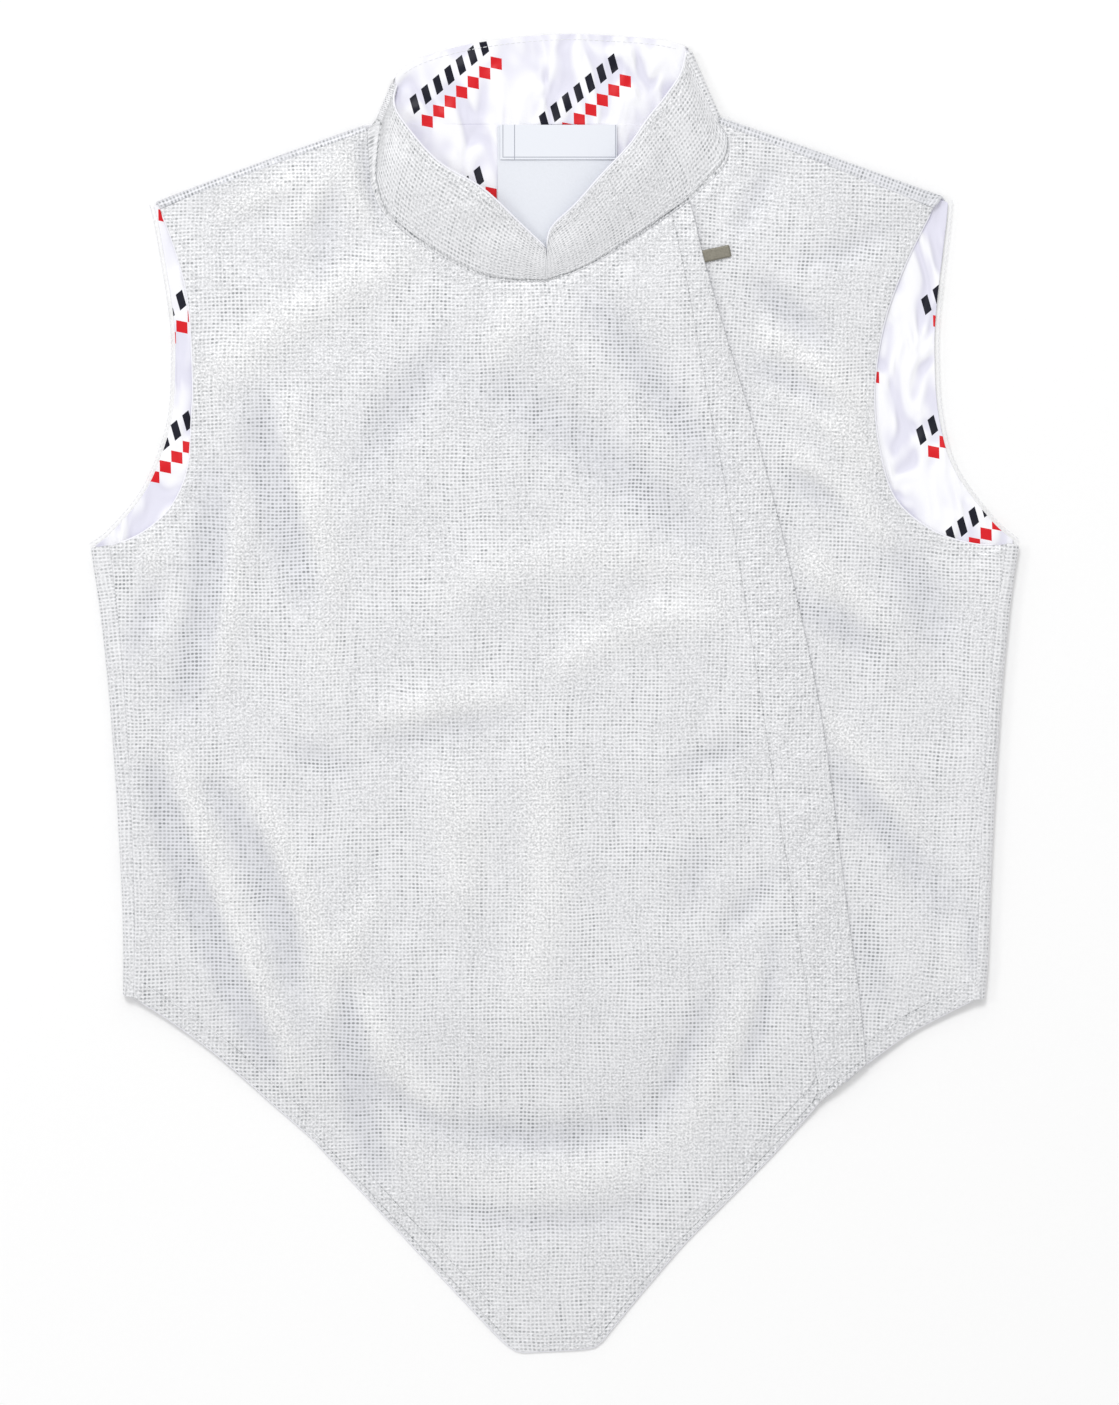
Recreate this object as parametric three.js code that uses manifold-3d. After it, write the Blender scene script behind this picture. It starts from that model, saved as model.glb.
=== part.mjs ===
// Sleeveless metallic fencing vest, laid flat on its back with the front up.
// Millimetres, +X to the right as seen from above, +Y towards the collar, +Z up from the table.
// The origin is the middle of the outline, at the level of the surface that the vest lies on.

import * as THREE from 'three';
import { mergeVertices } from 'three/addons/utils/BufferGeometryUtils.js';
import Module from 'manifold-3d';

const wasm = await Module();
wasm.setup();

// Driving sizes: wall thicknesses and how high the layers lie.
const SEAM_GAP = 0.3;
const BACK_WALL = 1.4;
const LINING_WALL = 1.0;
const FRONT_WALL = 1.6;
const COLLAR_WALL = 1.4;
const SIDE_FOLD_HEIGHT = 7.0;
const SHOULDER_FOLD_HEIGHT = 6.4;
const COLLAR_FOLD_HEIGHT = 5.2;
const FOLD_ROOT = 8;
const FOLD_STEPS = 7;
const LINING_UNDER = BACK_WALL + SEAM_GAP;
const LINING_TOP = LINING_UNDER + LINING_WALL;
const FRONT_REST = LINING_TOP + SEAM_GAP;
const BACK_HEM_Y = -162.5;
const BACK_NECK_Y = 318.4;
const DRAPE_END_Y = -250;
const LOFT = 1.4;

// Heights of the layers at the zip, above the level that the front rests on.
const STITCH_LEVEL = 2.6;
const STITCH_REACH = 15;
const FLAP_LEVEL = 3.9;
const FLAP_EDGE_LEVEL = 3.4;
const FLAP_NECK_LEVEL = 2.0;
const FLAP_TENT = 2.9;
const FLAP_TENT_RADIUS = 36;
const ZIP_WALL = 0.6;
const ZIP_TEETH_HEIGHT = 0.6;
const ZIP_TEETH_HALF_WIDTH = 2.5;
const ZIP_MARGIN = 0.12;
const SIDE_EDGE_SHARE = 0.35;
const PULL_PIVOT = { x: 74.8, y: 242.5 };
const PULL_ANGLE = THREE.MathUtils.degToRad(12.1);
const CHAIN_ANGLE = THREE.MathUtils.degToRad(-75);
const PULL_LENGTH = 23.7;
const PULL_WIDTH = 6.8;
const PULL_WALL = 1.0;
const PULL_EYE_RADIUS = 1.7;
const PULL_CORNER = 0.8;
const SLIDER_LENGTH = 11;
const SLIDER_WIDTH = 8;
const SLIDER_WALL = 1.2;
const POST_RADIUS = 1.3;

// Outline stretches as [x, y] knots of smooth curves; each runs from the hem upwards or
// from the front opening outwards.
const EDGES = {
  sideLeft: [[-241.7, -163.7], [-242.3, -115.5], [-247, -34.3], [-252.6, 29.5], [-259.6, 81]],
  sideRight: [[241.4, -167], [242.5, -144], [244.7, -87.5], [249.2, -10.2], [254.8, 49.7], [259.6, 82.7]],
  armholeFrontLeft: [[-249, 81.8], [-230.7, 89.5], [-214.2, 104.6], [-205, 125.9], [-202.7, 155.5],
    [-202, 175], [-204.4, 217.1], [-211.1, 245.7], [-220.4, 271.4]],
  armholeFrontRight: [[252.6, 83.2], [234.6, 83.2], [210.6, 91.1], [189.8, 109], [180.9, 137.6],
    [178.2, 170], [183.1, 205.4], [193.8, 236.7], [211.1, 272]],
  armholeBackLeft: [[-259.3, 81.5], [-247, 91.1], [-227.9, 115.2], [-215, 149.9], [-212.2, 183],
    [-213.4, 212.7], [-220.9, 259.1], [-224.6, 274.8]],
  armholeBackRight: [[258.2, 84.4], [243.6, 97.3], [222.9, 125.9], [214.5, 155.5], [212.2, 186.9],
    [213.1, 215.5], [218.4, 260.8], [219.8, 277.1]],
  shoulderFoldLeft: [[-224.6, 274.8], [-162.4, 298.2], [-106.6, 318.1]],
  shoulderFoldRight: [[219.8, 277.1], [156, 300.2], [93, 322.4]],
  neckLeft: [[-5.6, 230], [-37.5, 231.7], [-66.4, 245.1], [-93.6, 265.9], [-102.6, 283.2],
    [-104, 297.2], [-104.7, 306], [-105.2, 314.6]],
  neckRight: [[-5.3, 230], [15.1, 236.7], [33.6, 246.8], [54.9, 260.3], [65.5, 267.8]],
  neckFlap: [[65.5, 267.8], [71, 271.4], [75, 274.4]],
  neckSide: [[75, 274.4], [90.7, 289.9], [96.4, 297.5], [97.8, 305.9], [95.6, 313.6], [91.5, 318.9]],
  hemLeft: [[-235.5, -169.5], [-213.9, -183.3], [-187, -203.4], [-159, -228.1], [-136.1, -248.2]],
  hemPointLeft: [[-136.1, -248.2], [-45, -345.5], [-25.5, -364.9], [-17.6, -368.3]],
  hemPointRight: [[-17.6, -368.3], [1.7, -367.4], [20.2, -365.8], [26.6, -361.6], [33, -353.5],
    [70, -309.9], [119.8, -259.6], [147.8, -228.1]],
  hemFlap: [[147.8, -228.1], [161, -216.5], [173.6, -207]],
  hemSide: [[173.6, -207], [196.6, -190.6], [217, -179.5], [233.9, -170.8]],
  stitchLine: [[147.8, -228.1], [138.9, -154.2], [123.2, -53.9], [100.8, 86.1], [85.7, 164.5],
    [75.6, 220.5], [65.5, 267.8]],
  flapEdge: [[173.6, -207], [169.7, -168.2], [163.8, -126.3], [149.5, -18.7], [133.3, 60.3],
    [115.9, 130.9], [94.6, 202], [83.2, 241], [78.4, 262], [75, 274.4]],
  collarTopLeft: [[-5, 248.5], [-20.7, 263], [-40.9, 281.5], [-66.4, 297.2], [-85.6, 320.2],
    [-89.8, 331], [-91.8, 341.4]],
  collarTopRight: [[-4.6, 248.5], [-1.7, 259.7], [12.3, 273.1], [26.3, 288.8], [42, 305.6], [52.1, 320.2],
    [62.2, 333], [70.6, 345.9], [76.7, 359.4]],
  collarTopBack: [[-91.8, 341.4], [-85.7, 349.3], [-73.4, 356], [-52.1, 362.2], [-29.1, 366.1], [-6.2, 368.3],
    [12.3, 368.9], [33.6, 367.8], [54.9, 366.1], [70.6, 363], [76.7, 359.4]],
};

// How far each fold brings the back panel round on to the front, at the two ends of the fold.
const LAPS = {
  sideLeft: { start: 6.2, end: 10.6 },
  sideRight: { start: 6.2, end: 7 },
  shoulderLeft: { start: 4.4, end: 3.6 },
  shoulderRight: { start: 8, end: 3.6 },
  collar: { start: 3.2, end: 3.2 },
};

// Number of grid steps along each stretch; pieces that share a seam share its steps.
const STEPS = {
  side: 14, armhole: 16, shoulder: 8, neckLeft: 12, neckRight: 6, neckFlap: 2, neckSide: 5,
  hemLeft: 6, hemPointLeft: 9, hemPointRight: 11, hemSide: 13, collarRows: 5, backCollar: 14,
};

// Largest folds of the front: a soft ridge (height over 0) or trough along a bent line.
const FRONT_FOLDS = [
  { at: 'left chest', x0: -84, y0: 244, x1: -148, y1: 212, x2: -196, y2: 173, height: 2.4, width: 14 },
  { at: 'left armhole', x0: -164, y0: 159, x1: -161, y1: 120, x2: -137, y2: 58, height: -2.3, width: 12 },
  { at: 'left side upper', x0: -190, y0: 120, x1: -191, y1: 52, x2: -206, y2: -4, height: -2.3, width: 11 },
  { at: 'left side hollow', x0: -218, y0: 66, x1: -226, y1: 48, x2: -236, y2: 24, height: -1.4, width: 8 },
  { at: 'left hip outer', x0: -220, y0: -46, x1: -193, y1: -116, x2: -156, y2: -205, height: -2.8, width: 12 },
  { at: 'left hip inner', x0: -186, y0: -54, x1: -150, y1: -104, x2: -138, y2: -182, height: -2.2, width: 11 },
  { at: 'left point drag', x0: -113, y0: -160, x1: -110, y1: -228, x2: -73, y2: -267, height: -2.8, width: 12 },
  { at: 'point hollow', x0: -92, y0: -230, x1: -20, y1: -276, x2: 53, y2: -244, height: -1.8, width: 12 },
  { at: 'point swell', x0: -76, y0: -272, x1: -3, y1: -298, x2: 70, y2: -256, height: 3.0, width: 16 },
  { at: 'belly line', x0: -8, y0: -37, x1: 3, y1: -99, x2: -17, y2: -177, height: 1.9, width: 14 },
  { at: 'belly line left', x0: -56, y0: -48, x1: -50, y1: -84, x2: -53, y2: -116, height: 1.4, width: 12 },
  { at: 'chest bow', x0: -64, y0: 52, x1: 16, y1: 96, x2: 92, y2: 62, height: 2.2, width: 14 },
  { at: 'waist bow', x0: 3, y0: 14, x1: 42, y1: 46, x2: 90, y2: 44, height: 1.8, width: 11 },
  { at: 'waist crease', x0: -98, y0: -15, x1: -62, y1: -4, x2: -25, y2: -2, height: 1.2, width: 9 },
  { at: 'neck to flap', x0: 20, y0: 220, x1: 52, y1: 178, x2: 90, y2: 122, height: -1.6, width: 10 },
  { at: 'chest to flap', x0: -42, y0: 176, x1: 22, y1: 140, x2: 81, y2: 86, height: -1.4, width: 14 },
  { at: 'chest left dip', x0: -104, y0: 130, x1: -86, y1: 164, x2: -64, y2: 188, height: -1.3, width: 12 },
  { at: 'point right ridge', x0: 119, y0: -146, x1: 98, y1: -202, x2: 72, y2: -250, height: 2.8, width: 12 },
];
const SIDE_FOLDS = [
  { at: 'below shoulder', x0: 115, y0: 226, x1: 132, y1: 214, x2: 148, y2: 198, height: -1.6, width: 8 },
  { at: 'upper drag', x0: 115, y0: 181, x1: 136, y1: 172, x2: 154, y2: 153, height: -1.6, width: 8 },
  { at: 'middle drag', x0: 132, y0: 120, x1: 150, y1: 114, x2: 165, y2: 103, height: -1.4, width: 8 },
  { at: 'waist drag', x0: 138, y0: 48, x1: 160, y1: 41, x2: 176, y2: 24, height: -1.6, width: 8 },
  { at: 'hip drag', x0: 160, y0: -43, x1: 206, y1: -88, x2: 232, y2: -143, height: -2.2, width: 10 },
  { at: 'under armhole', x0: 193, y0: 75, x1: 207, y1: 56, x2: 216, y2: 30, height: -1.4, width: 12 },
];

// Evenly spaced points along a smooth curve through the knots.
function along(knots, count) {
  const curve = new THREE.SplineCurve(knots.map(([x, y]) => new THREE.Vector2(x, y)));
  curve.arcLengthDivisions = 400;
  return curve.getSpacedPoints(count);
}

// The same line with evenly spaced points.
const respaced = (line, count) => along(line.map(({ x, y }) => [x, y]), count);

// Stretches joined end to end, with each shared end point kept once.
function chain(...stretches) {
  return stretches.flatMap((points, order) => (order === 0 ? points : points.slice(1)));
}

// A line moved sideways, to its left for a positive distance; the distance may change along it.
function aside(points, distance) {
  return points.map((point, index) => {
    const before = points[Math.max(index - 1, 0)];
    const after = points[Math.min(index + 1, points.length - 1)];
    const run = after.clone().sub(before).normalize();
    const reach = typeof distance === 'function' ? distance(index / (points.length - 1)) : distance;
    return new THREE.Vector2(point.x - run.y * reach, point.y + run.x * reach);
  });
}

// A line part of the way from one line to another of as many points.
function between(from, to, share) {
  return from.map((point, index) => point.clone().lerp(to[index], share));
}

// A grid of plan points between four edges: straight lines from the bottom edge to the top one, bent
// over a share of the width beside the two side edges so that they follow those too. Rows run up,
// columns across.
const SIDE_BEND_REACH = 0.42;
function patch(bottom, top, left, right, bendReach = SIDE_BEND_REACH) {
  const sideFade = (share) => Math.max(0, 1 - share / bendReach) ** 2;
  const columns = bottom.length - 1;
  const rows = left.length - 1;
  const mix = (a, b, share) => a.clone().lerp(b, share);
  return left.map((leftPoint, row) => bottom.map((bottomPoint, column) => {
    const u = column / columns;
    const v = row / rows;
    const bendLeft = leftPoint.clone().sub(mix(bottom[0], top[0], v));
    const bendRight = right[row].clone().sub(mix(bottom[columns], top[columns], v));
    return mix(bottomPoint, top[column], v)
      .addScaledVector(bendLeft, sideFade(u))
      .addScaledVector(bendRight, sideFade(1 - u));
  }));
}

// Shortest distance from a plan point to a line of points.
function distanceTo(line, x, y) {
  let nearest = Infinity;
  for (let index = 1; index < line.length; index += 1) {
    const start = line[index - 1];
    const run = line[index].clone().sub(start);
    const projection = ((x - start.x) * run.x + (y - start.y) * run.y) / run.lengthSq();
    const share = THREE.MathUtils.clamp(projection, 0, 1);
    nearest = Math.min(nearest, Math.hypot(x - start.x - share * run.x, y - start.y - share * run.y));
  }
  return nearest;
}

// The point of a line that lies nearest to a plan point.
function nearestOn(line, x, y) {
  const nearest = line.reduce((best, point) => (
    Math.hypot(x - point.x, y - point.y) < Math.hypot(x - best.x, y - best.y) ? point : best
  ));
  return [nearest.x, nearest.y];
}

const bell = (distance, width) => Math.exp(-((distance / width) ** 2));

// Height that the folds of one table add at a plan point; each fold fades out at its two ends.
function foldHeight(folds, x, y) {
  let height = 0;
  for (const fold of folds) {
    const bend = new THREE.QuadraticBezierCurve(
      new THREE.Vector2(fold.x0, fold.y0),
      new THREE.Vector2(fold.x1, fold.y1),
      new THREE.Vector2(fold.x2, fold.y2),
    );
    const line = fold.line ?? (fold.line = bend.getPoints(10));
    let best = 0;
    line.forEach((point, index) => {
      const fade = Math.sqrt(Math.sin(Math.PI * (0.06 + 0.88 * index / (line.length - 1))));
      best = Math.max(best, fade * bell(Math.hypot(x - point.x, y - point.y), fold.width));
    });
    height += fold.height * best;
  }
  return height;
}

// A closed mesh between an outer and an inner grid of points with the same rows and columns.
function shell(outer, inner) {
  const rows = outer.length;
  const columns = outer[0].length;
  const positions = [...outer.flat(), ...inner.flat()].flatMap((point) => [point.x, point.y, point.z]);
  const lastRow = rows - 1;
  const lastColumn = columns - 1;
  const at = (row, column, layer) => layer * rows * columns + row * columns + column;
  const indices = [];
  const quad = (a, b, c, d) => indices.push(a, b, c, a, c, d);
  for (let row = 0; row < lastRow; row += 1) {
    const up = row + 1;
    for (let column = 0; column < lastColumn; column += 1) {
      const over = column + 1;
      quad(at(row, column, 0), at(row, over, 0), at(up, over, 0), at(up, column, 0));
      quad(at(row, column, 1), at(up, column, 1), at(up, over, 1), at(row, over, 1));
    }
    quad(at(row, 0, 0), at(up, 0, 0), at(up, 0, 1), at(row, 0, 1));
    quad(at(up, lastColumn, 0), at(row, lastColumn, 0), at(row, lastColumn, 1), at(up, lastColumn, 1));
  }
  for (let column = 0; column < lastColumn; column += 1) {
    const over = column + 1;
    quad(at(0, over, 0), at(0, column, 0), at(0, column, 1), at(0, over, 1));
    quad(at(lastRow, column, 0), at(lastRow, over, 0), at(lastRow, over, 1), at(lastRow, column, 1));
  }
  const geometry = new THREE.BufferGeometry();
  geometry.setAttribute('position', new THREE.Float32BufferAttribute(positions, 3));
  geometry.setIndex(signedVolume(positions, indices) < 0 ? indices.reverse() : indices);
  return geometry;
}

// Six times the volume inside a closed mesh, negative where its faces point inwards.
function signedVolume(positions, indices) {
  let volume = 0;
  const corner = (index) => new THREE.Vector3(...positions.slice(3 * index, 3 * index + 3));
  for (let index = 0; index < indices.length; index += 3) {
    const [a, b, c] = [0, 1, 2].map((step) => corner(indices[index + step]));
    volume += a.dot(b.cross(c));
  }
  return volume;
}

// Cloth lying over a plan grid: a wall of even thickness over the height of its underside.
function cloth(grid, underside, wall) {
  const heights = grid.map((line, row) => line.map(({ x, y }, column) => underside(x, y, row, column)));
  const level = (extra) => grid.map((line, row) => line.map((point, column) => (
    new THREE.Vector3(point.x, point.y, heights[row][column] + extra)
  )));
  return shell(level(wall), level(0));
}

// A rolled fold along an edge line: flat on the table, round at the edge, then back on top as a lap.
// The cloth lies to the left of the line.
function rolledFold(line, height, wall, lap, root = FOLD_ROOT) {
  const radius = height / 2;
  const section = (bendRadius, share) => {
    const low = radius - bendRadius;
    const points = [[radius + root, low], [radius, low]];
    for (let step = 1; step < FOLD_STEPS; step += 1) {
      const angle = Math.PI * step / FOLD_STEPS;
      points.push([radius - bendRadius * Math.sin(angle), radius - bendRadius * Math.cos(angle)]);
    }
    const reach = THREE.MathUtils.lerp(lap.start, lap.end, share);
    points.push([radius, height - low], [reach, height - low]);
    return points;
  };
  const surface = (bendRadius) => line.map((point, index) => {
    const before = line[Math.max(index - 1, 0)];
    const after = line[Math.min(index + 1, line.length - 1)];
    const run = after.clone().sub(before).normalize();
    return section(bendRadius, index / (line.length - 1)).map(([inward, up]) => (
      new THREE.Vector3(point.x - run.y * inward, point.y + run.x * inward, up)
    ));
  });
  return shell(surface(radius), surface(radius - wall));
}

// The same lap for a fold whose line runs the other way.
const turned = (lap) => ({ start: lap.end, end: lap.start });

// A flat piece of the given outline, between two heights.
function flatPiece(outline, low, high) {
  const settings = { depth: high - low, bevelEnabled: false };
  const geometry = new THREE.ExtrudeGeometry(new THREE.Shape(outline), settings);
  geometry.translate(0, 0, low);
  return geometry;
}

// Boolean work on closed meshes.
function toSolid(geometry) {
  const bare = geometry.clone();
  bare.deleteAttribute('normal');
  bare.deleteAttribute('uv');
  const merged = mergeVertices(bare, 1e-4);
  const vertProperties = new Float32Array(merged.attributes.position.array);
  const triVerts = new Uint32Array(merged.index.array);
  return new wasm.Manifold(new wasm.Mesh({ numProp: 3, vertProperties, triVerts }));
}

function join(geometries) {
  const whole = geometries.map(toSolid).reduce((sum, solid) => sum.add(solid));
  const mesh = whole.getMesh();
  const geometry = new THREE.BufferGeometry();
  geometry.setAttribute('position', new THREE.BufferAttribute(new Float32Array(mesh.vertProperties), 3));
  geometry.setIndex([...mesh.triVerts]);
  return geometry;
}

const LOOKS = {
  lame: { color: 0xdfe2e4, roughness: 0.5, metalness: 0.45 },
  satin: { color: 0xefeffa, roughness: 0.35, metalness: 0 },
  label: { color: 0xeef2f8, roughness: 0.6, metalness: 0 },
  tape: { color: 0xe4e4e8, roughness: 0.8, metalness: 0 },
  metal: { color: 0x8d897c, roughness: 0.4, metalness: 0.9 },
};

const vest = new THREE.Group();

function add(name, geometry, look) {
  const mesh = new THREE.Mesh(geometry, new THREE.MeshStandardMaterial(LOOKS[look]));
  mesh.name = name;
  vest.add(mesh);
  return mesh;
}

// Sampled edges.
const sideLeft = along(EDGES.sideLeft, STEPS.side);
const sideRight = along(EDGES.sideRight, STEPS.side);
const armholeFrontLeft = along(EDGES.armholeFrontLeft, STEPS.armhole);
const armholeFrontRight = along(EDGES.armholeFrontRight, STEPS.armhole);
const armholeBackLeft = along(EDGES.armholeBackLeft, STEPS.armhole);
const armholeBackRight = along(EDGES.armholeBackRight, STEPS.armhole);
const shoulderFoldLeft = along(EDGES.shoulderFoldLeft, STEPS.shoulder);
const shoulderFoldRight = along(EDGES.shoulderFoldRight, STEPS.shoulder);
const neckLeft = along(EDGES.neckLeft, STEPS.neckLeft);
const neckRight = along(EDGES.neckRight, STEPS.neckRight);
const neckFlap = along(EDGES.neckFlap, STEPS.neckFlap);
const neckSide = along(EDGES.neckSide, STEPS.neckSide);
const frontRows = STEPS.side + STEPS.armhole;
const stitchLine = along(EDGES.stitchLine, frontRows);
const flapEdge = along(EDGES.flapEdge, frontRows);
const hemLeft = along(EDGES.hemLeft, STEPS.hemLeft);
const hemPointLeft = along(EDGES.hemPointLeft, STEPS.hemPointLeft);
const hemPointRight = along(EDGES.hemPointRight, STEPS.hemPointRight);
const hemFlap = along(EDGES.hemFlap, STEPS.neckFlap);
const hemSide = along(EDGES.hemSide, STEPS.hemSide);

// Seams where the front meets the folds of the back panel.
const lapOf = (lap, extra) => (share) => THREE.MathUtils.lerp(lap.start, lap.end, share) + extra;
const mirroredLap = (lap, extra) => (share) => -lapOf(lap, extra)(share);
const seamLeft = aside(sideLeft, mirroredLap(LAPS.sideLeft, SEAM_GAP));
const seamRight = aside(sideRight, lapOf(LAPS.sideRight, SEAM_GAP));
const seamShoulderLeft = aside(shoulderFoldLeft, mirroredLap(LAPS.shoulderLeft, SEAM_GAP));
const seamShoulderRight = aside(shoulderFoldRight, lapOf(LAPS.shoulderRight, SEAM_GAP));
seamShoulderLeft[STEPS.shoulder] = neckLeft.at(-1);
seamShoulderRight[STEPS.shoulder] = neckSide.at(-1);

// The level that the front rests on: the lined back, and the table itself past the back hem.
function restLevel(y) {
  return FRONT_REST * THREE.MathUtils.smoothstep(y, DRAPE_END_Y, BACK_HEM_Y - 2);
}

const frontHem = chain(hemLeft, hemPointLeft, hemPointRight, hemFlap, hemSide);
const frontNeck = chain(neckLeft.toReversed(), neckRight, neckFlap, neckSide);

// How the cloth of the front lies above that level: loft, folds, and set heights at its edges. Each
// edge acts within the number of millimetres that its bell curve gives.
const EDGE_DIP = 0.9;
const FREE_FRONT = FRONT_WALL + FRONT_REST + LOFT;
function frontLoft(folds, x, y) {
  const side = Math.min(distanceTo(seamLeft, x, y), distanceTo(seamRight, x, y));
  const shoulder = Math.min(distanceTo(seamShoulderLeft, x, y), distanceTo(seamShoulderRight, x, y));
  const armhole = Math.min(distanceTo(armholeFrontLeft, x, y), distanceTo(armholeFrontRight, x, y));
  const loose = (1 - bell(side, 14)) * (1 - bell(shoulder, 8));
  const hem = bell(distanceTo(frontHem, x, y), 16) * (1 - bell(side, 12));
  const free = LOFT + loose * foldHeight(folds, x, y) * (1 - 0.5 * hem);
  const raised = free
    + (SIDE_FOLD_HEIGHT - FREE_FRONT) * bell(side, 14)
    + (SHOULDER_FOLD_HEIGHT - FREE_FRONT) * bell(shoulder, 10)
    - EDGE_DIP * bell(armhole, 12) * (1 - bell(side, 10))
    - EDGE_DIP * bell(distanceTo(frontNeck, x, y), 12) * (1 - bell(shoulder, 10))
    - EDGE_DIP * hem;
  return Math.max(raised, 0);
}

function tent(x, y) {
  const reach = Math.hypot(x - PULL_PIVOT.x, y - PULL_PIVOT.y) / FLAP_TENT_RADIUS;
  return FLAP_TENT * Math.exp(-(reach ** 4));
}

// Front panel, from the wearer's right side seam to the stitch line of the zip flap.
function mainUnder(x, y) {
  const toStitch = bell(distanceTo(stitchLine, x, y), STITCH_REACH);
  const loft = frontLoft(FRONT_FOLDS, x, y) * (1 - toStitch) + STITCH_LEVEL * toStitch;
  return restLevel(y) + loft + tent(x, y);
}
const mainRight = aside(stitchLine, SEAM_GAP);
const mainTop = chain(seamShoulderLeft, neckLeft.toReversed(), neckRight.slice(0, -1), mainRight.slice(-2));
const mainTip = mainRight.slice(0, 2).toReversed();
const mainBottom = chain(hemLeft, hemPointLeft, hemPointRight.slice(0, -1), mainTip);
const mainLeft = chain(seamLeft, armholeFrontLeft);
mainLeft[0] = hemLeft[0];
mainLeft[frontRows] = seamShoulderLeft[0];
const mainGrid = patch(mainBottom, mainTop, mainLeft, mainRight);
add('front_panel_right', cloth(mainGrid, mainUnder, FRONT_WALL), 'lame');

// Flap over the zip: a strip that rises from the stitch line, clears the zip and ends in a free edge.
function flapUnder(x, y) {
  const fromStitch = distanceTo(stitchLine, x, y);
  const share = fromStitch / (fromStitch + distanceTo(flapEdge, x, y));
  const rise = THREE.MathUtils.lerp(STITCH_LEVEL, FLAP_LEVEL, THREE.MathUtils.smoothstep(share, 0, 0.2));
  const level = THREE.MathUtils.lerp(rise, FLAP_EDGE_LEVEL, THREE.MathUtils.smoothstep(share, 0.85, 1));
  const toNeck = bell(distanceTo(neckFlap, x, y), 10);
  return restLevel(y) + THREE.MathUtils.lerp(level, FLAP_NECK_LEVEL, toNeck) + tent(x, y);
}
const FLAP_SHARES = [0, 0.2, 0.5, 0.82, 1];
const flapGrid = stitchLine.map((point, row) => (
  FLAP_SHARES.map((share) => point.clone().lerp(flapEdge[row], share))
));
add('zip_flap', cloth(flapGrid, flapUnder, FRONT_WALL), 'lame');

// Front panel of the wearer's left side: it lies flat under the flap and lifts past the flap's edge.
const sideEdge = between(stitchLine, flapEdge, SIDE_EDGE_SHARE);
function sideUnder(x, y) {
  const fromStitch = distanceTo(stitchLine, x, y);
  const toFlap = distanceTo(flapEdge, x, y);
  const past = fromStitch > distanceTo(stitchLine, ...nearestOn(flapEdge, x, y)) ? toFlap : 0;
  return restLevel(y) + frontLoft(SIDE_FOLDS, x, y) * THREE.MathUtils.smoothstep(past, 0, STITCH_REACH);
}
const sideBottom = [sideEdge[0], ...hemSide];
const sideTop = respaced(seamShoulderRight.toReversed(), sideBottom.length - 1);
const sideInner = [...respaced(sideEdge, frontRows - STEPS.neckSide - 1), ...neckSide];
const sideOuter = chain(seamRight, armholeFrontRight);
sideOuter[0] = hemSide.at(-1);
sideOuter[frontRows] = seamShoulderRight[0];
const sideGrid = patch(sideBottom, sideTop, sideInner, sideOuter, 1);
add('front_panel_left', cloth(sideGrid, sideUnder, FRONT_WALL), 'lame');

// Zip under the flap: closed tapes with the teeth as a ridge, which ends below the slider.
const zipRows = STEPS.side + STEPS.armhole - 1;
const zipLeft = between(stitchLine, flapEdge, ZIP_MARGIN).slice(0, zipRows);
const zipRight = between(stitchLine, flapEdge, 1 - ZIP_MARGIN).slice(0, zipRows);
const zipMiddle = between(zipLeft, zipRight, 0.5);
const teethLines = [1.08, 1, -1, -1.08].map((side) => aside(zipMiddle, side * ZIP_TEETH_HALF_WIDTH));
const zipLines = [zipLeft, ...teethLines, zipRight];
const zipGrid = zipMiddle.map((point, row) => zipLines.map((line) => line[row]));
const ZIP_UNDER = FRONT_WALL + 2 * SEAM_GAP;
const zipUnder = zipGrid.map((line) => line.map((point) => (
  new THREE.Vector3(point.x, point.y, restLevel(point.y) + ZIP_UNDER)
)));
const zipOver = zipUnder.map((line) => line.map((point, column) => {
  const onTeeth = (column === 2 || column === 3) && point.y < PULL_PIVOT.y - SLIDER_LENGTH;
  return new THREE.Vector3(point.x, point.y, point.z + ZIP_WALL + (onTeeth ? ZIP_TEETH_HEIGHT : 0));
}));
add('zip', shell(zipOver, zipUnder), 'tape');

// Slider with the post that its pull tab turns on; local x runs along the zip.
const SLIDER_LOW = FRONT_REST + ZIP_UNDER + ZIP_WALL + SEAM_GAP;
const SLIDER_HIGH = SLIDER_LOW + SLIDER_WALL;
const PULL_LOW = SLIDER_HIGH + SEAM_GAP;
const sliderOutline = [[-0.5, -0.28], [-0.3, -0.42], [0.1, -0.5], [0.5, -0.34], [0.5, 0.34], [0.1, 0.5],
  [-0.3, 0.42], [-0.5, 0.28]].map(([x, y]) => new THREE.Vector2(x * SLIDER_LENGTH, y * SLIDER_WIDTH));
const post = new THREE.CylinderGeometry(POST_RADIUS, POST_RADIUS, PULL_WALL + 2 * SEAM_GAP, 16);
post.rotateX(Math.PI / 2);
post.translate(0, 0, SLIDER_HIGH + PULL_WALL / 2 + 0.1);
const slider = add('zip_slider', join([flatPiece(sliderOutline, SLIDER_LOW, SLIDER_HIGH), post]), 'metal');
slider.position.set(PULL_PIVOT.x, PULL_PIVOT.y, 0);
slider.rotation.z = CHAIN_ANGLE;

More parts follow.
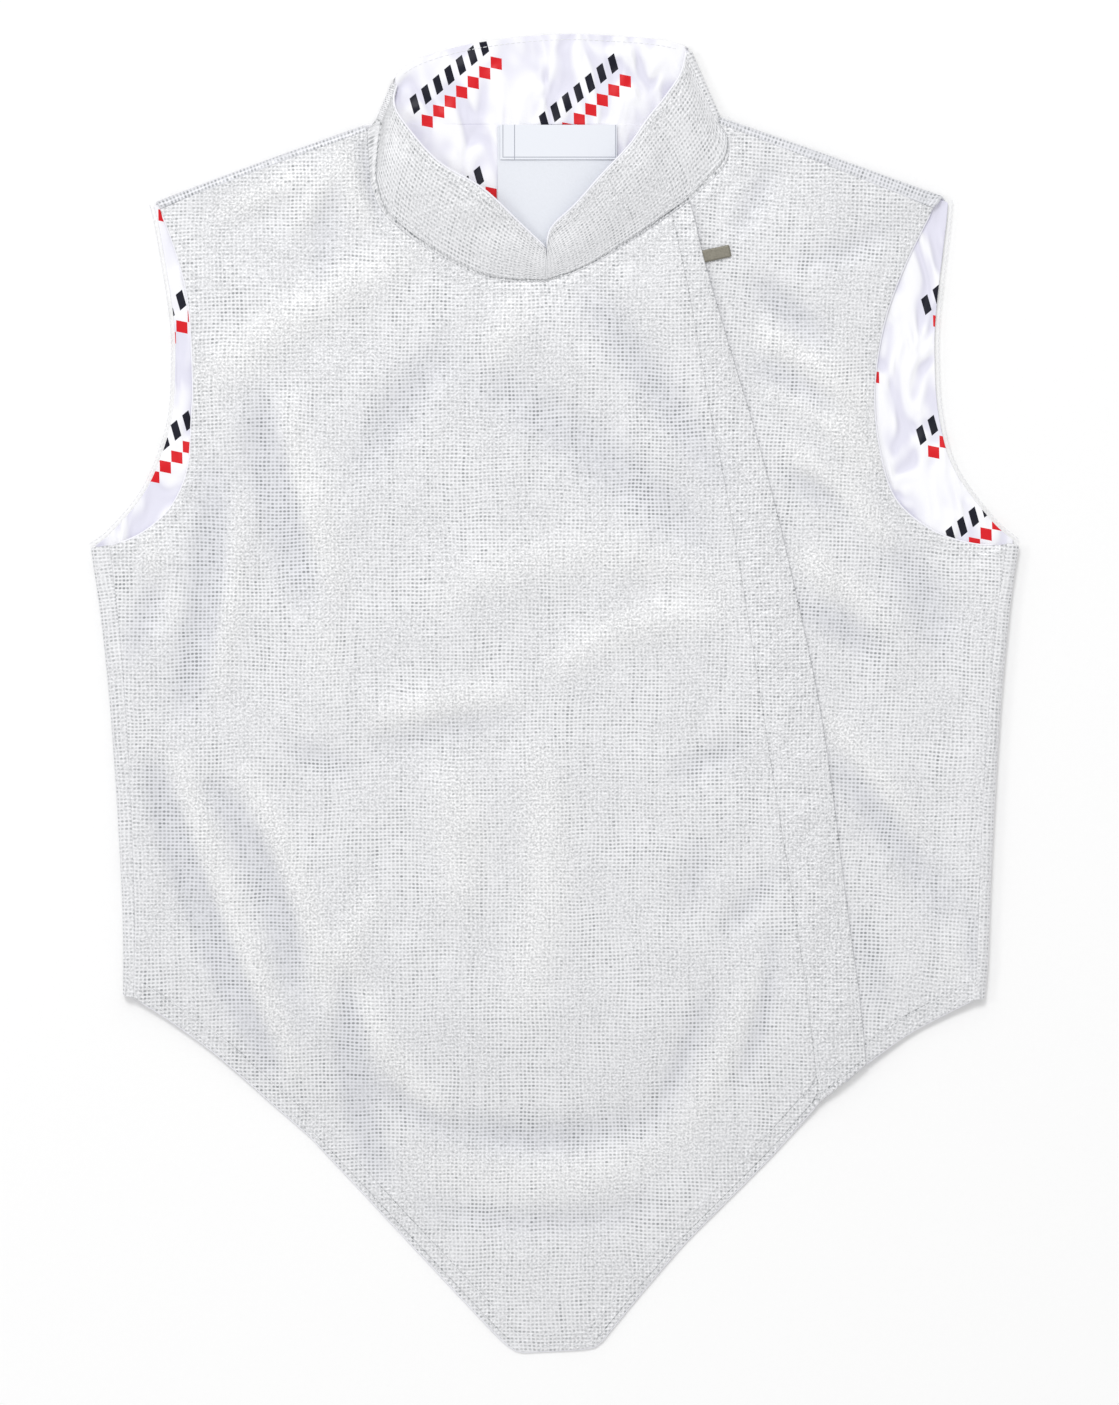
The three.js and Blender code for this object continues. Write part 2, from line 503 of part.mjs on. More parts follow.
// Pull tab: a flat bar with a round eye end over the post.
const pullShape = new THREE.Shape();
const halfPull = PULL_WIDTH / 2;
const eyeEnd = halfPull - 0.2;
pullShape.moveTo(PULL_LENGTH - PULL_CORNER, halfPull);
pullShape.lineTo(0, eyeEnd);
pullShape.absarc(0, 0, eyeEnd, Math.PI / 2, 3 * Math.PI / 2, false);
pullShape.lineTo(PULL_LENGTH - PULL_CORNER, -halfPull);
pullShape.lineTo(PULL_LENGTH, -halfPull + PULL_CORNER);
pullShape.lineTo(PULL_LENGTH, halfPull - PULL_CORNER);
const eye = new THREE.Path();
eye.absarc(0, 0, PULL_EYE_RADIUS, 0, 2 * Math.PI, true);
pullShape.holes.push(eye);
const pullSettings = { depth: PULL_WALL, bevelEnabled: false, curveSegments: 10 };
const pullTab = add('pull_tab', new THREE.ExtrudeGeometry(pullShape, pullSettings), 'metal');
pullTab.position.set(PULL_PIVOT.x, PULL_PIVOT.y, PULL_LOW);
pullTab.rotation.z = PULL_ANGLE;

// Back panel: flat on the table, rolled round to the front at its sides and shoulders.
const SIDE_INSET = SIDE_FOLD_HEIGHT / 2;
const SHOULDER_INSET = SHOULDER_FOLD_HEIGHT / 2;
const backOutline = (sideInset, shoulderInset, hemY, armholeInset) => [
  ...aside(sideLeft, -sideInset).filter((point) => point.y > hemY + 1),
  ...aside(armholeBackLeft, -armholeInset).slice(1, -1),
  ...aside(shoulderFoldLeft, -shoulderInset),
  new THREE.Vector2(EDGES.shoulderFoldLeft[2][0] + 5, BACK_NECK_Y),
  new THREE.Vector2(EDGES.shoulderFoldRight[2][0] - 5, BACK_NECK_Y),
  ...aside(shoulderFoldRight, shoulderInset).toReversed(),
  ...aside(armholeBackRight, armholeInset).slice(1, -1).toReversed(),
  ...aside(sideRight, sideInset).filter((point) => point.y > hemY + 1).toReversed(),
  new THREE.Vector2(EDGES.sideRight[0][0] - sideInset, hemY),
  new THREE.Vector2(EDGES.sideLeft[0][0] + sideInset, hemY),
];
add('back_panel', join([
  flatPiece(backOutline(SIDE_INSET, SHOULDER_INSET, BACK_HEM_Y, 0), 0, BACK_WALL),
  rolledFold(sideLeft.toReversed(), SIDE_FOLD_HEIGHT, BACK_WALL, turned(LAPS.sideLeft)),
  rolledFold(sideRight, SIDE_FOLD_HEIGHT, BACK_WALL, LAPS.sideRight),
  rolledFold(shoulderFoldLeft.toReversed(), SHOULDER_FOLD_HEIGHT, BACK_WALL, turned(LAPS.shoulderLeft)),
  rolledFold(shoulderFoldRight, SHOULDER_FOLD_HEIGHT, BACK_WALL, LAPS.shoulderRight),
]), 'lame');

// Back lining: satin that fills the inside of the back, up to the armholes and the neck.
const liningOutline = backOutline(SIDE_INSET + 0.6, SHOULDER_INSET + 0.6, BACK_HEM_Y + 3, 0.2);
add('back_lining', flatPiece(liningOutline, LINING_UNDER, LINING_TOP), 'satin');

// Collar: the back half lies flat with its satin inside up, and rolls over at both ends.
const COLLAR_ROOT = 3;
const collarFoldLeft = along([[-100.2, 321.4], EDGES.collarTopBack[0]], STEPS.collarRows);
const collarFoldRight = along([[92.4, 323.6], EDGES.collarTopBack.at(-1)], STEPS.collarRows);
const collarTopBack = along(EDGES.collarTopBack, STEPS.backCollar);
const collarOutline = (inset, neckY) => [
  new THREE.Vector2(collarFoldLeft[0].x + inset + COLLAR_ROOT, neckY),
  new THREE.Vector2(collarFoldRight[0].x - inset - COLLAR_ROOT, neckY),
  ...aside(collarFoldRight, inset),
  ...aside(collarTopBack, -0.2 * inset).slice(1, -1).toReversed(),
  ...aside(collarFoldLeft, -inset).toReversed(),
];
const COLLAR_NECK_Y = BACK_NECK_Y + SEAM_GAP;
add('collar_back', join([
  flatPiece(collarOutline(COLLAR_FOLD_HEIGHT / 2, COLLAR_NECK_Y), 0, COLLAR_WALL),
  rolledFold(collarFoldLeft.toReversed(), COLLAR_FOLD_HEIGHT, COLLAR_WALL, LAPS.collar, COLLAR_ROOT),
  rolledFold(collarFoldRight, COLLAR_FOLD_HEIGHT, COLLAR_WALL, LAPS.collar, COLLAR_ROOT),
]), 'lame');
const collarLining = collarOutline(COLLAR_FOLD_HEIGHT / 2 + 0.8, COLLAR_NECK_Y);
add('collar_lining', flatPiece(collarLining, LINING_UNDER, LINING_TOP), 'satin');

// Front halves of the collar, from the neck seam up to the free edge, between heights in a table
// of shares of the way from the front notch to the roll. The tail is the number of seam steps that
// run up beside the roll.
const COLLAR_LEFT_RISE = [
  { share: 0, seam: 3.6, edge: 6 },
  { share: 0.3, seam: 3.6, edge: 10 },
  { share: 0.7, seam: 3.8, edge: 9.5 },
  { share: 0.9, seam: 4.2, edge: 6.5 },
  { share: 1, seam: 3.8, edge: 3.8 },
];
const COLLAR_RIGHT_RISE = [
  { share: 0, seam: 3.6, edge: 6 },
  { share: 0.3, seam: 4.0, edge: 11 },
  { share: 0.55, seam: 5.2, edge: 11 },
  { share: 0.8, seam: 4.6, edge: 8.5 },
  { share: 1, seam: 3.8, edge: 3.8 },
];
const COLLAR_BULGE = 1.4;
function collarUnder(rise, share, up) {
  const next = Math.max(rise.findIndex((row) => row.share >= share), 1);
  const part = (share - rise[next - 1].share) / (rise[next].share - rise[next - 1].share);
  const seam = THREE.MathUtils.lerp(rise[next - 1].seam, rise[next].seam, part);
  const edge = THREE.MathUtils.lerp(rise[next - 1].edge, rise[next].edge, part);
  const bulge = COLLAR_BULGE * Math.sin(Math.PI * up) * (1 - share ** 6);
  return THREE.MathUtils.lerp(seam, edge, up) + bulge;
}
function collarFront(name, seam, edge, roll, rise, tail) {
  const bottom = seam.slice(0, seam.length - tail);
  const side = [...seam.slice(-1 - tail), ...roll];
  const tip = [roll.at(-1).x, roll.at(-1).y];
  const top = along([...edge.slice(0, -1), tip], bottom.length - 1);
  const notch = side.map((point, row) => bottom[0].clone().lerp(top[0], row / (side.length - 1)));
  const under = (x, y, row, column) => collarUnder(rise, column / (bottom.length - 1), row / (side.length - 1));
  add(name, cloth(patch(bottom, top, notch, side), under, COLLAR_WALL), 'lame');
}
const collarSeamLeft = aside(neckLeft, -SEAM_GAP);
const collarSeamRight = aside(chain(neckRight, neckFlap, neckSide), SEAM_GAP);
const rollInset = LAPS.collar.start + SEAM_GAP;
const rollLeft = aside(collarFoldLeft, -rollInset);
const rollRight = aside(collarFoldRight, rollInset);
collarFront('collar_front_right', collarSeamLeft, EDGES.collarTopLeft, rollLeft, COLLAR_LEFT_RISE, 0);
collarFront('collar_front_left', collarSeamRight, EDGES.collarTopRight, rollRight, COLLAR_RIGHT_RISE, 1);

// Labels inside the neck, the small one on the large one, both hanging from the neck seam.
const LABEL_WALL = 0.4;
const LARGE_LABEL = { left: -32, right: 34, top: 318, bottom: 238 };
const SMALL_LABEL = { left: -30.6, right: 34.6, top: 318, bottom: 298.8 };
function label(name, place, low) {
  const corners = [[place.left, place.bottom], [place.right, place.bottom], [place.right, place.top],
    [place.left, place.top]];
  add(name, flatPiece(corners.map(([x, y]) => new THREE.Vector2(x, y)), low, low + LABEL_WALL), 'label');
}
label('care_label', LARGE_LABEL, LINING_TOP + SEAM_GAP);
label('neck_label', SMALL_LABEL, LINING_TOP + 2 * SEAM_GAP + LABEL_WALL);

export default vest;
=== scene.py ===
# %% [markdown]
# # A fencing vest of metallic cloth, laid flat
# The real garment is a sleeveless vest woven with metal threads, lined with white satin. It lies on its
# back with the front up, so almost all that shows is one wide, softly rumpled surface. The form could be
# sculpted or simulated, but its outline is set by its cut and its creases are listed one by one, so each panel
# here is a surface worked out with numpy over the plan of the pattern piece: a sum of soft ridges and troughs.
# %% Load the frame
import math

import bpy
import mathutils
import numpy as np
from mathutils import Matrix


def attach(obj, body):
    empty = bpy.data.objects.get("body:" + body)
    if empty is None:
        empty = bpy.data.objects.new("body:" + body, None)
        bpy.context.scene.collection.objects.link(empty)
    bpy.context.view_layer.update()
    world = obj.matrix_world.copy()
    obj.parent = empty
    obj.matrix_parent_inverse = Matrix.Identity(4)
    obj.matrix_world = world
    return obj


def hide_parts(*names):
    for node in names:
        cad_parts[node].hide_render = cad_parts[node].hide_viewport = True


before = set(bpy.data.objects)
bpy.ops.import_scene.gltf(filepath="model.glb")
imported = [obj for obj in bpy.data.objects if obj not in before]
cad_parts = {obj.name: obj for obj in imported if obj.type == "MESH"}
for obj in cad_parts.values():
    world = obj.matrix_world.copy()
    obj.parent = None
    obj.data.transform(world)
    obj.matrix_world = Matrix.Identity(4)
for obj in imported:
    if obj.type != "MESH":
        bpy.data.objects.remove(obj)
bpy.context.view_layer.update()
MM = 0.001

# %% [markdown]
# ## Sizes
# These are the driving sizes of the garment in millimetres: how thick each layer is, and how high the
# layers lie on each other. They follow the part's own sizes, so each cloth falls where its solid is.
# %% Layer sizes
SEAM_GAP = 0.3
BACK_WALL = 1.4
LINING_WALL = 1.0
FRONT_WALL = 1.6
COLLAR_WALL = 1.4
SIDE_FOLD_HEIGHT = 7.0
SHOULDER_FOLD_HEIGHT = 6.4
COLLAR_FOLD_HEIGHT = 5.2
LINING_TOP = BACK_WALL + SEAM_GAP + LINING_WALL
FRONT_REST = LINING_TOP + SEAM_GAP
BACK_HEM_Y = -162.5
BACK_NECK_Y = 318.4
DRAPE_END_Y = -250
LOFT = 1.4
STITCH_LEVEL = 2.6
FLAP_LEVEL = 3.9
FLAP_EDGE_LEVEL = 3.4
FLAP_NECK_LEVEL = 2.6
FLAP_TENT = 2.9
FLAP_TENT_RADIUS = 56
FLAP_SWELL = 1.7
EDGE_DROP = 0.9
PIVOT = np.array([74.8, 242.5])

# %% [markdown]
# ## Outlines
# A pattern cutter draws a few marks and joins them with a smooth curve. Each stretch below is such a row of
# marks, in millimetres from the middle of the vest, and a Catmull-Rom spline is carried through them. Lines
# and creases are called left and right as they are seen from above, and pieces by the wearer's own side.
# %% Pattern marks
EDGES = {
    "side_left": [(-241.7, -163.7), (-242.3, -115.5), (-247, -34.3), (-252.6, 29.5), (-259.6, 81)],
    "side_right": [(241.4, -167), (242.5, -144), (244.7, -87.5), (249.2, -10.2), (254.8, 49.7), (259.6, 82.7)],
    "armhole_front_left": [(-249, 81.8), (-230.7, 89.5), (-214.2, 104.6), (-205, 125.9), (-202.7, 155.5),
                           (-202, 175), (-204.4, 217.1), (-211.1, 245.7), (-220.4, 271.4)],
    "armhole_front_right": [(252.6, 83.2), (234.6, 83.2), (210.6, 91.1), (189.8, 109), (180.9, 137.6),
                            (178.2, 170), (183.1, 205.4), (193.8, 236.7), (211.1, 272)],
    "armhole_back_left": [(-259.3, 81.5), (-247, 91.1), (-227.9, 115.2), (-215, 149.9), (-212.2, 183),
                          (-213.4, 212.7), (-220.9, 259.1), (-224.6, 274.8)],
    "armhole_back_right": [(258.2, 84.4), (243.6, 97.3), (222.9, 125.9), (214.5, 155.5), (212.2, 186.9),
                           (213.1, 215.5), (218.4, 260.8), (219.8, 277.1)],
    "shoulder_left": [(-224.6, 274.8), (-162.4, 298.2), (-106.6, 318.1)],
    "shoulder_right": [(219.8, 277.1), (156, 300.2), (93, 322.4)],
    "neck_left": [(-5.6, 230), (-37.5, 231.7), (-66.4, 245.1), (-93.6, 265.9), (-102.6, 283.2),
                  (-104, 297.2), (-104.7, 306), (-105.2, 314.6)],
    "neck_right": [(-5.3, 230), (15.1, 236.7), (33.6, 246.8), (54.9, 260.3), (65.5, 267.8)],
    "neck_flap": [(65.5, 267.8), (71, 271.4), (75, 274.4)],
    "neck_side": [(75, 274.4), (90.7, 289.9), (96.4, 297.5), (97.8, 305.9), (95.6, 313.6), (91.5, 318.9)],
    "hem_left": [(-235.5, -169.5), (-213.9, -183.3), (-187, -203.4), (-159, -228.1), (-136.1, -248.2)],
    "hem_point_left": [(-136.1, -248.2), (-45, -345.5), (-25.5, -364.9), (-17.6, -368.3)],
    "hem_point_right": [(-17.6, -368.3), (1.7, -367.4), (20.2, -365.8), (26.6, -361.6), (33, -353.5),
                        (70, -309.9), (119.8, -259.6), (147.8, -228.1)],
    "hem_flap": [(147.8, -228.1), (161, -216.5), (173.6, -207)],
    "hem_side": [(173.6, -207), (196.6, -190.6), (217, -179.5), (233.9, -170.8)],
    "stitch_line": [(147.8, -228.1), (138.9, -154.2), (123.2, -53.9), (100.8, 86.1), (85.7, 164.5),
                    (75.6, 220.5), (65.5, 267.8)],
    "flap_edge": [(173.6, -207), (169.7, -168.2), (163.8, -126.3), (149.5, -18.7), (133.3, 60.3),
                  (115.9, 130.9), (94.6, 202), (83.2, 241), (78.4, 262), (75, 274.4)],
    "collar_top_left": [(-5, 248.5), (-20.7, 263), (-40.9, 281.5), (-66.4, 297.2), (-86, 320.2),
                        (-90.4, 331), (-91.8, 341.4)],
    "collar_top_right": [(-4.6, 248.5), (-1.7, 259.7), (12.3, 273.1), (26.3, 288.8), (42, 305.6),
                         (52.1, 320.2), (62.2, 333), (70.6, 345.9), (76.7, 359.4)],
    "collar_top_back": [(-91.8, 341.4), (-85.7, 349.3), (-73.4, 356), (-52.1, 362.2), (-29.1, 366.1),
                        (-6.2, 368.3), (12.3, 368.9), (33.6, 367.8), (54.9, 366.1), (70.6, 363), (76.7, 359.4)],
    "collar_roll_left": [(-100.2, 321.4), (-91.8, 341.4)],
    "collar_roll_right": [(92.4, 323.6), (76.7, 359.4)],
}
# How far the back panel comes round to the front at the two ends of each rolled edge.
LAPS = {"side_left": (6.2, 10.6), "side_right": (6.2, 7), "shoulder_left": (4.4, 3.6), "shoulder_right": (8, 3.6),
        "collar": (3.2, 3.2)}


# %% Curves through the marks
def resample(line, count):
    """Points at even steps of arc length along a line of points."""
    steps = np.linalg.norm(np.diff(line, axis=0), axis=1)
    run = np.concatenate([[0], np.cumsum(steps)])
    wanted = np.linspace(0, run[-1], count + 1)
    return np.stack([np.interp(wanted, run, line[:, axis]) for axis in range(line.shape[1])], axis=1)


def along(knots, count):
    """Even points on the Catmull-Rom spline: each span is the cubic of its four nearest marks."""
    marks = np.array(knots, float)
    padded = np.vstack([marks[:1], marks, marks[-1:]])
    t = np.linspace(0, 1, 60)[:, None]
    spans = []
    for p0, p1, p2, p3 in zip(padded[:-3], padded[1:-2], padded[2:-1], padded[3:]):
        v0, v1 = (p2 - p0) / 2, (p3 - p1) / 2
        spans.append((2 * p1 - 2 * p2 + v0 + v1) * t**3 + (-3 * p1 + 3 * p2 - 2 * v0 - v1) * t**2 + v0 * t + p1)
    return resample(np.vstack(spans), count)


def edge(name, count):
    return along(EDGES[name], count)


def aside(line, distance):
    """Moves each point to the left of the line's direction by a distance, or one for each point."""
    run = np.gradient(line, axis=0)
    run /= np.linalg.norm(run, axis=1)[:, None]
    left = np.stack([-run[:, 1], run[:, 0]], axis=1)
    return line + left * np.broadcast_to(distance, len(line))[:, None]


def chain(*stretches):
    """Joins stretches end to end and keeps each shared end point once."""
    return np.vstack([stretches[0]] + [stretch[1:] for stretch in stretches[1:]])


def patch(bottom, top, left, right, reach=0.42):
    """Fills a grid between four edges: straight lines from bottom to top, plus what the side edges bend
    away from those lines, fading as the square of the distance across."""
    u = np.linspace(0, 1, len(bottom))[None, :, None]
    v = np.linspace(0, 1, len(left))[:, None, None]
    ruled = bottom[None] * (1 - v) + top[None] * v
    bend_left = left[:, None] - ruled[:, :1]
    bend_right = right[:, None] - ruled[:, -1:]
    fade_left = np.maximum(0, 1 - u / reach) ** 2
    fade_right = np.maximum(0, 1 - (1 - u) / reach) ** 2
    return ruled + bend_left * fade_left + bend_right * fade_right


STEPS = {"side": 84, "armhole": 80, "shoulder": 36, "neck_left": 54, "neck_right": 26, "neck_flap": 7,
         "neck_side": 22, "hem_left": 36, "hem_point_left": 40, "hem_side": 58}
front_rows = STEPS["side"] + STEPS["armhole"]
main_columns = STEPS["shoulder"] + STEPS["neck_left"] + STEPS["neck_right"]


def edges(step, *names):
    """Edges of a name each, all with the number of steps of one kind of edge."""
    return (edge(name, STEPS[step]) for name in names)


side_left, side_right = edges("side", "side_left", "side_right")
armhole_front_left, armhole_front_right = edges("armhole", "armhole_front_left", "armhole_front_right")
armhole_back_left, armhole_back_right = edges("armhole", "armhole_back_left", "armhole_back_right")
shoulder_left, shoulder_right = edges("shoulder", "shoulder_left", "shoulder_right")
neck_left, neck_right, neck_flap, neck_side, hem_left, hem_point_left, hem_side = (
    edge(name, STEPS[name]) for name in (
        "neck_left", "neck_right", "neck_flap", "neck_side", "hem_left", "hem_point_left", "hem_side"))
stitch_line, flap_edge = (edge(name, front_rows) for name in ("stitch_line", "flap_edge"))
hem_point_right = edge("hem_point_right", main_columns - STEPS["hem_left"] - STEPS["hem_point_left"])
hem_flap = edge("hem_flap", STEPS["neck_flap"])


def lap_line(line, lap, side):
    """The line where a rolled edge ends on the front: the edge moved in by its lap, even in change."""
    return aside(line, side * (np.linspace(lap[0], lap[1], len(line)) + SEAM_GAP))


def shoulder_seam(line, lap, side, corner, neck):
    """The lap line of a shoulder, started at the armhole's corner and ended at the neck."""
    seam = lap_line(line, lap, side)
    kept = seam[np.linalg.norm(seam - seam[0], axis=1) > np.linalg.norm(corner - seam[0]) + 1]
    seam = resample(np.vstack([corner, kept]), len(seam) - 1)
    seam[-1] = neck
    return seam


seam_left = lap_line(side_left, LAPS["side_left"], -1)
seam_right = lap_line(side_right, LAPS["side_right"], 1)
seam_shoulder_left = shoulder_seam(shoulder_left, LAPS["shoulder_left"], -1, armhole_front_left[-1], neck_left[-1])
seam_shoulder_right = shoulder_seam(shoulder_right, LAPS["shoulder_right"], 1, armhole_front_right[-1],
                                    neck_side[-1])
front_hem = chain(hem_left, hem_point_left, hem_point_right, hem_flap, hem_side)
front_neck = chain(neck_left[::-1], neck_right, neck_flap, neck_side)
print("hem length in mm:", round(float(np.linalg.norm(np.diff(front_hem, axis=0), axis=1).sum())))

# %% [markdown]
# ## How the cloth lies
# Stiff metallic cloth doesn't crumple: it holds long soft creases that run out to nothing. Each crease is a
# bent line with a bell-shaped cross-section, a ridge where its height is over 0 and a trough where it is
# under, and it fades at its two ends. Doing this one by one, and not by a cloth simulation, puts each crease
# where the garment has it.
# %% Creases of the front
CREASES_RIGHT = [
    # name, start, middle, end, height, width
    ("left chest", (-84, 244), (-148, 212), (-196, 173), 1.2, 12),
    ("left armhole", (-164, 159), (-161, 120), (-137, 58), -2.3, 12),
    ("left side upper", (-190, 120), (-191, 52), (-206, -4), -2.3, 11),
    ("left side hollow", (-218, 66), (-226, 48), (-236, 24), -1.4, 8),
    ("left hip outer", (-224, -46), (-203, -116), (-160, -205), -2.8, 8.5),
    ("left hip inner", (-190, -54), (-154, -100), (-141, -182), -2.4, 8),
    ("left point drag", (-115, -164), (-116, -226), (-98, -266), -2.2, 8.5),
    ("point hollow", (-98, -222), (-30, -264), (50, -240), -1.7, 9),
    ("point swell", (-76, -262), (-3, -290), (70, -250), 0.7, 12),
    ("belly line", (-8, -37), (3, -99), (-17, -177), 1.3, 12),
    ("belly line left", (-56, -48), (-50, -84), (-53, -116), 1.4, 12),
    ("chest bow", (-64, 52), (16, 96), (92, 62), 0.9, 12),
    ("waist bow", (3, 14), (42, 46), (90, 44), 1.2, 10),
    ("waist crease", (-98, -15), (-62, -4), (-25, -2), 1.2, 9),
    ("neck to flap", (20, 220), (52, 178), (90, 122), -1.6, 10),
    ("chest to flap", (-42, 176), (22, 140), (81, 86), -1.4, 14),
    ("chest left dip", (-104, 130), (-86, 164), (-64, 188), -1.3, 12),
    ("point right ridge", (117, -150), (98, -202), (74, -246), 0.9, 7.5),
]
CREASES_LEFT = [
    ("below shoulder", (115, 226), (132, 214), (148, 198), -1.6, 8),
    ("upper drag", (115, 181), (136, 172), (154, 153), -1.6, 8),
    ("middle drag", (132, 120), (150, 114), (165, 103), -1.4, 8),
    ("waist drag", (138, 48), (160, 41), (176, 24), -1.6, 8),
    ("hip drag", (160, -43), (206, -88), (232, -143), -2.2, 10),
    ("under armhole", (193, 75), (207, 56), (216, 30), -1.4, 12),
]
# Smaller creases that the solids leave out.
FINE_RIGHT = [
    ("hip outer ridge", (-210, -40), (-184, -118), (-146, -210), 1.8, 7),
    ("hip inner ridge", (-172, -46), (-138, -104), (-124, -176), 1.5, 7),
    ("point drag ridge", (-115, -146), (-97, -218), (-46, -245), 1.4, 7),
    ("point low hollow", (-70, -288), (0, -304), (55, -286), -1.0, 8),
    ("point right drag", (84, -172), (74, -204), (58, -234), -1.3, 6.5),
    ("flap foot drag", (122, -136), (119, -180), (106, -214), -1.3, 6),
    ("armhole ridge", (-150, 160), (-146, 118), (-122, 62), 1.4, 8),
    ("side ridge", (-178, 108), (-178, 54), (-190, 4), 1.3, 7),
    ("neck drag", (-126, 281), (-128, 252), (-131, 226), -0.9, 7),
    ("neck drag short", (-108, 306), (-104, 288), (-97, 268), -1.2, 5),
    ("neck pleat", (-117, 304), (-114, 288), (-106, 264), 1.2, 6),
    ("neck fan", (-122, 294), (-132, 280), (-144, 262), 0.9, 6),
    ("shoulder band", (-186, 268), (-160, 280), (-136, 291), 0.9, 7),
    ("chest shallow", (-98, -30), (-60, -18), (-30, -14), -0.8, 9),
    ("flank dash", (-148, -31), (-130, -37), (-115, -43), -0.9, 8),
    ("belly dash", (81, -87), (79, -102), (75, -116), -0.8, 9),
    ("flap drag upper", (104, -29), (86, -38), (70, -43), -1.0, 8),
    ("flap drag lower", (120, -104), (108, -118), (98, -132), -1.0, 7),
    ("point dash", (-101, -118), (-113, -130), (-118, -150), 0.9, 9),
    ("hem dash left", (-140, -183), (-146, -178), (-139, -150), 0.9, 8),
    ("armpit dash", (-226, 84), (-222, 62), (-210, 44), 0.9, 8),
    ("chest vertical", (-131, 130), (-131, 60), (-126, 0), 0.6, 10),
    ("notch drag left", (-20, 222), (-24, 200), (-40, 180), 0.7, 9),
]
FINE_LEFT = [
    ("upper ridge", (115, 200), (142, 188), (170, 163), 1.4, 7),
    ("middle ridge", (122, 171), (150, 157), (178, 130), 1.5, 7),
    ("chest ridge", (132, 134), (160, 116), (185, 86), 1.5, 7),
    ("waist ridge", (137, 75), (160, 64), (182, 41), 1.3, 7),
    ("hip ridge", (154, -15), (198, -66), (224, -132), 1.5, 8),
    ("shoulder drag", (120, 293), (113, 276), (103, 259), -0.9, 7),
    ("shoulder long", (137, 243), (160, 241), (184, 259), -0.9, 9),
    ("seam dash", (224, -120), (226, -140), (222, -158), 0.8, 7),
    ("flap edge bulge", (146, 80), (150, 70), (152, 58), 0.8, 7),
    ("hip dash", (170, -130), (178, -150), (181, -172), -0.8, 8),
    ("blade", (160, 190), (170, 150), (168, 110), 0.6, 12),
]


def distance_to(line, spots):
    """Shortest distance from each spot to a line of points, span by span."""
    flat = spots.reshape(-1, 2)
    nearest = np.full(len(flat), np.inf)
    for start, end in zip(line[:-1], line[1:]):
        run = end - start
        share = np.clip((flat - start) @ run / max(run @ run, 1e-9), 0, 1)
        nearest = np.minimum(nearest, np.linalg.norm(flat - start - share[:, None] * run, axis=1))
    return nearest.reshape(spots.shape[:-1])


def bell(distance, width):
    return np.exp(-((distance / width) ** 2))


def smoothstep(value, low, high):
    share = np.clip((value - low) / (high - low), 0, 1)
    return share * share * (3 - 2 * share)


def crease_height(creases, spots):
    """Sum over creases of height x fade along a quadratic Bezier line x bell of the distance to it."""
    total = np.zeros(spots.shape[:-1])
    share = np.linspace(0, 1, 25)
    fade = np.sqrt(np.sin(math.pi * (0.06 + 0.88 * share)))
    for _, start, middle, end, height, width in creases:
        line = (np.outer((1 - share) ** 2, start) + np.outer(2 * share * (1 - share), middle)
                + np.outer(share**2, end))
        best = np.zeros(total.shape)
        for spot, strength in zip(line, fade):
            gap = np.linalg.norm(spots - spot, axis=-1)
            best = np.maximum(best, strength * bell(gap, width))
        total += height * best
    return total


def rumple(spots, seed, wavelength, height, waves=26):
    """Faint unevenness: the mean of sine waves in seeded random directions near one wavelength."""
    chance = np.random.default_rng(seed)
    turn = chance.uniform(0, math.tau, waves)
    length = wavelength * chance.uniform(0.6, 1.8, waves)
    phase = chance.uniform(0, math.tau, waves)
    along_x = spots[..., 0, None] * (np.cos(turn) / length * math.tau)
    along_y = spots[..., 1, None] * (np.sin(turn) / length * math.tau)
    return height * np.sin(along_x + along_y + phase).sum(axis=-1) / math.sqrt(waves)


def rest_level(spots):
    """The front rests on the lined back, and past the back hem it sinks to the table."""
    return FRONT_REST * smoothstep(spots[..., 1], DRAPE_END_Y, BACK_HEM_Y - 2)


def front_loft(spots, creases, fine, seed):
    """Height of the front over its rest: loft, creases, and set heights at the seams and edges. Each bell
    has the width in millimetres over which an edge holds the cloth down or up."""
    side = np.minimum(distance_to(seam_left, spots), distance_to(seam_right, spots))
    shoulder = np.minimum(distance_to(seam_shoulder_left, spots), distance_to(seam_shoulder_right, spots))
    armhole = np.minimum(distance_to(armhole_front_left, spots), distance_to(armhole_front_right, spots))
    loose = (1 - bell(side, 14)) * (1 - bell(shoulder, 8))
    hem = bell(distance_to(front_hem, spots), 16) * (1 - bell(side, 12))
    bumps = crease_height(creases, spots) + crease_height(fine, spots)
    bumps += rumple(spots, seed, 70, 0.35) + rumple(spots, seed + 1, 26, 0.12)
    loft = LOFT + loose * bumps * (1 - 0.5 * hem)
    loft += (SIDE_FOLD_HEIGHT - FRONT_WALL - FRONT_REST - LOFT) * bell(side, 14)
    loft += (SHOULDER_FOLD_HEIGHT - FRONT_WALL - FRONT_REST - LOFT) * bell(shoulder, 10)
    loft -= EDGE_DROP * bell(armhole, 12) * (1 - bell(side, 10))
    loft -= EDGE_DROP * bell(distance_to(front_neck, spots), 12) * (1 - bell(shoulder, 10))
    loft -= EDGE_DROP * hem
    return np.maximum(loft, 0)


def tent(spots):
    """The flap and the front beside it lift over the pull tab, with long soft sides."""
    return FLAP_TENT * bell(np.linalg.norm(spots - PIVOT, axis=-1), FLAP_TENT_RADIUS)


def main_top(spots):
    """Upper face of the right front: its loft, drawn to the level of the flap along the stitch line."""
    to_stitch = bell(distance_to(stitch_line, spots), 16)
    loft = front_loft(spots, CREASES_RIGHT, FINE_RIGHT, 11)
    return rest_level(spots) + loft * (1 - to_stitch) + STITCH_LEVEL * to_stitch + tent(spots) + FRONT_WALL


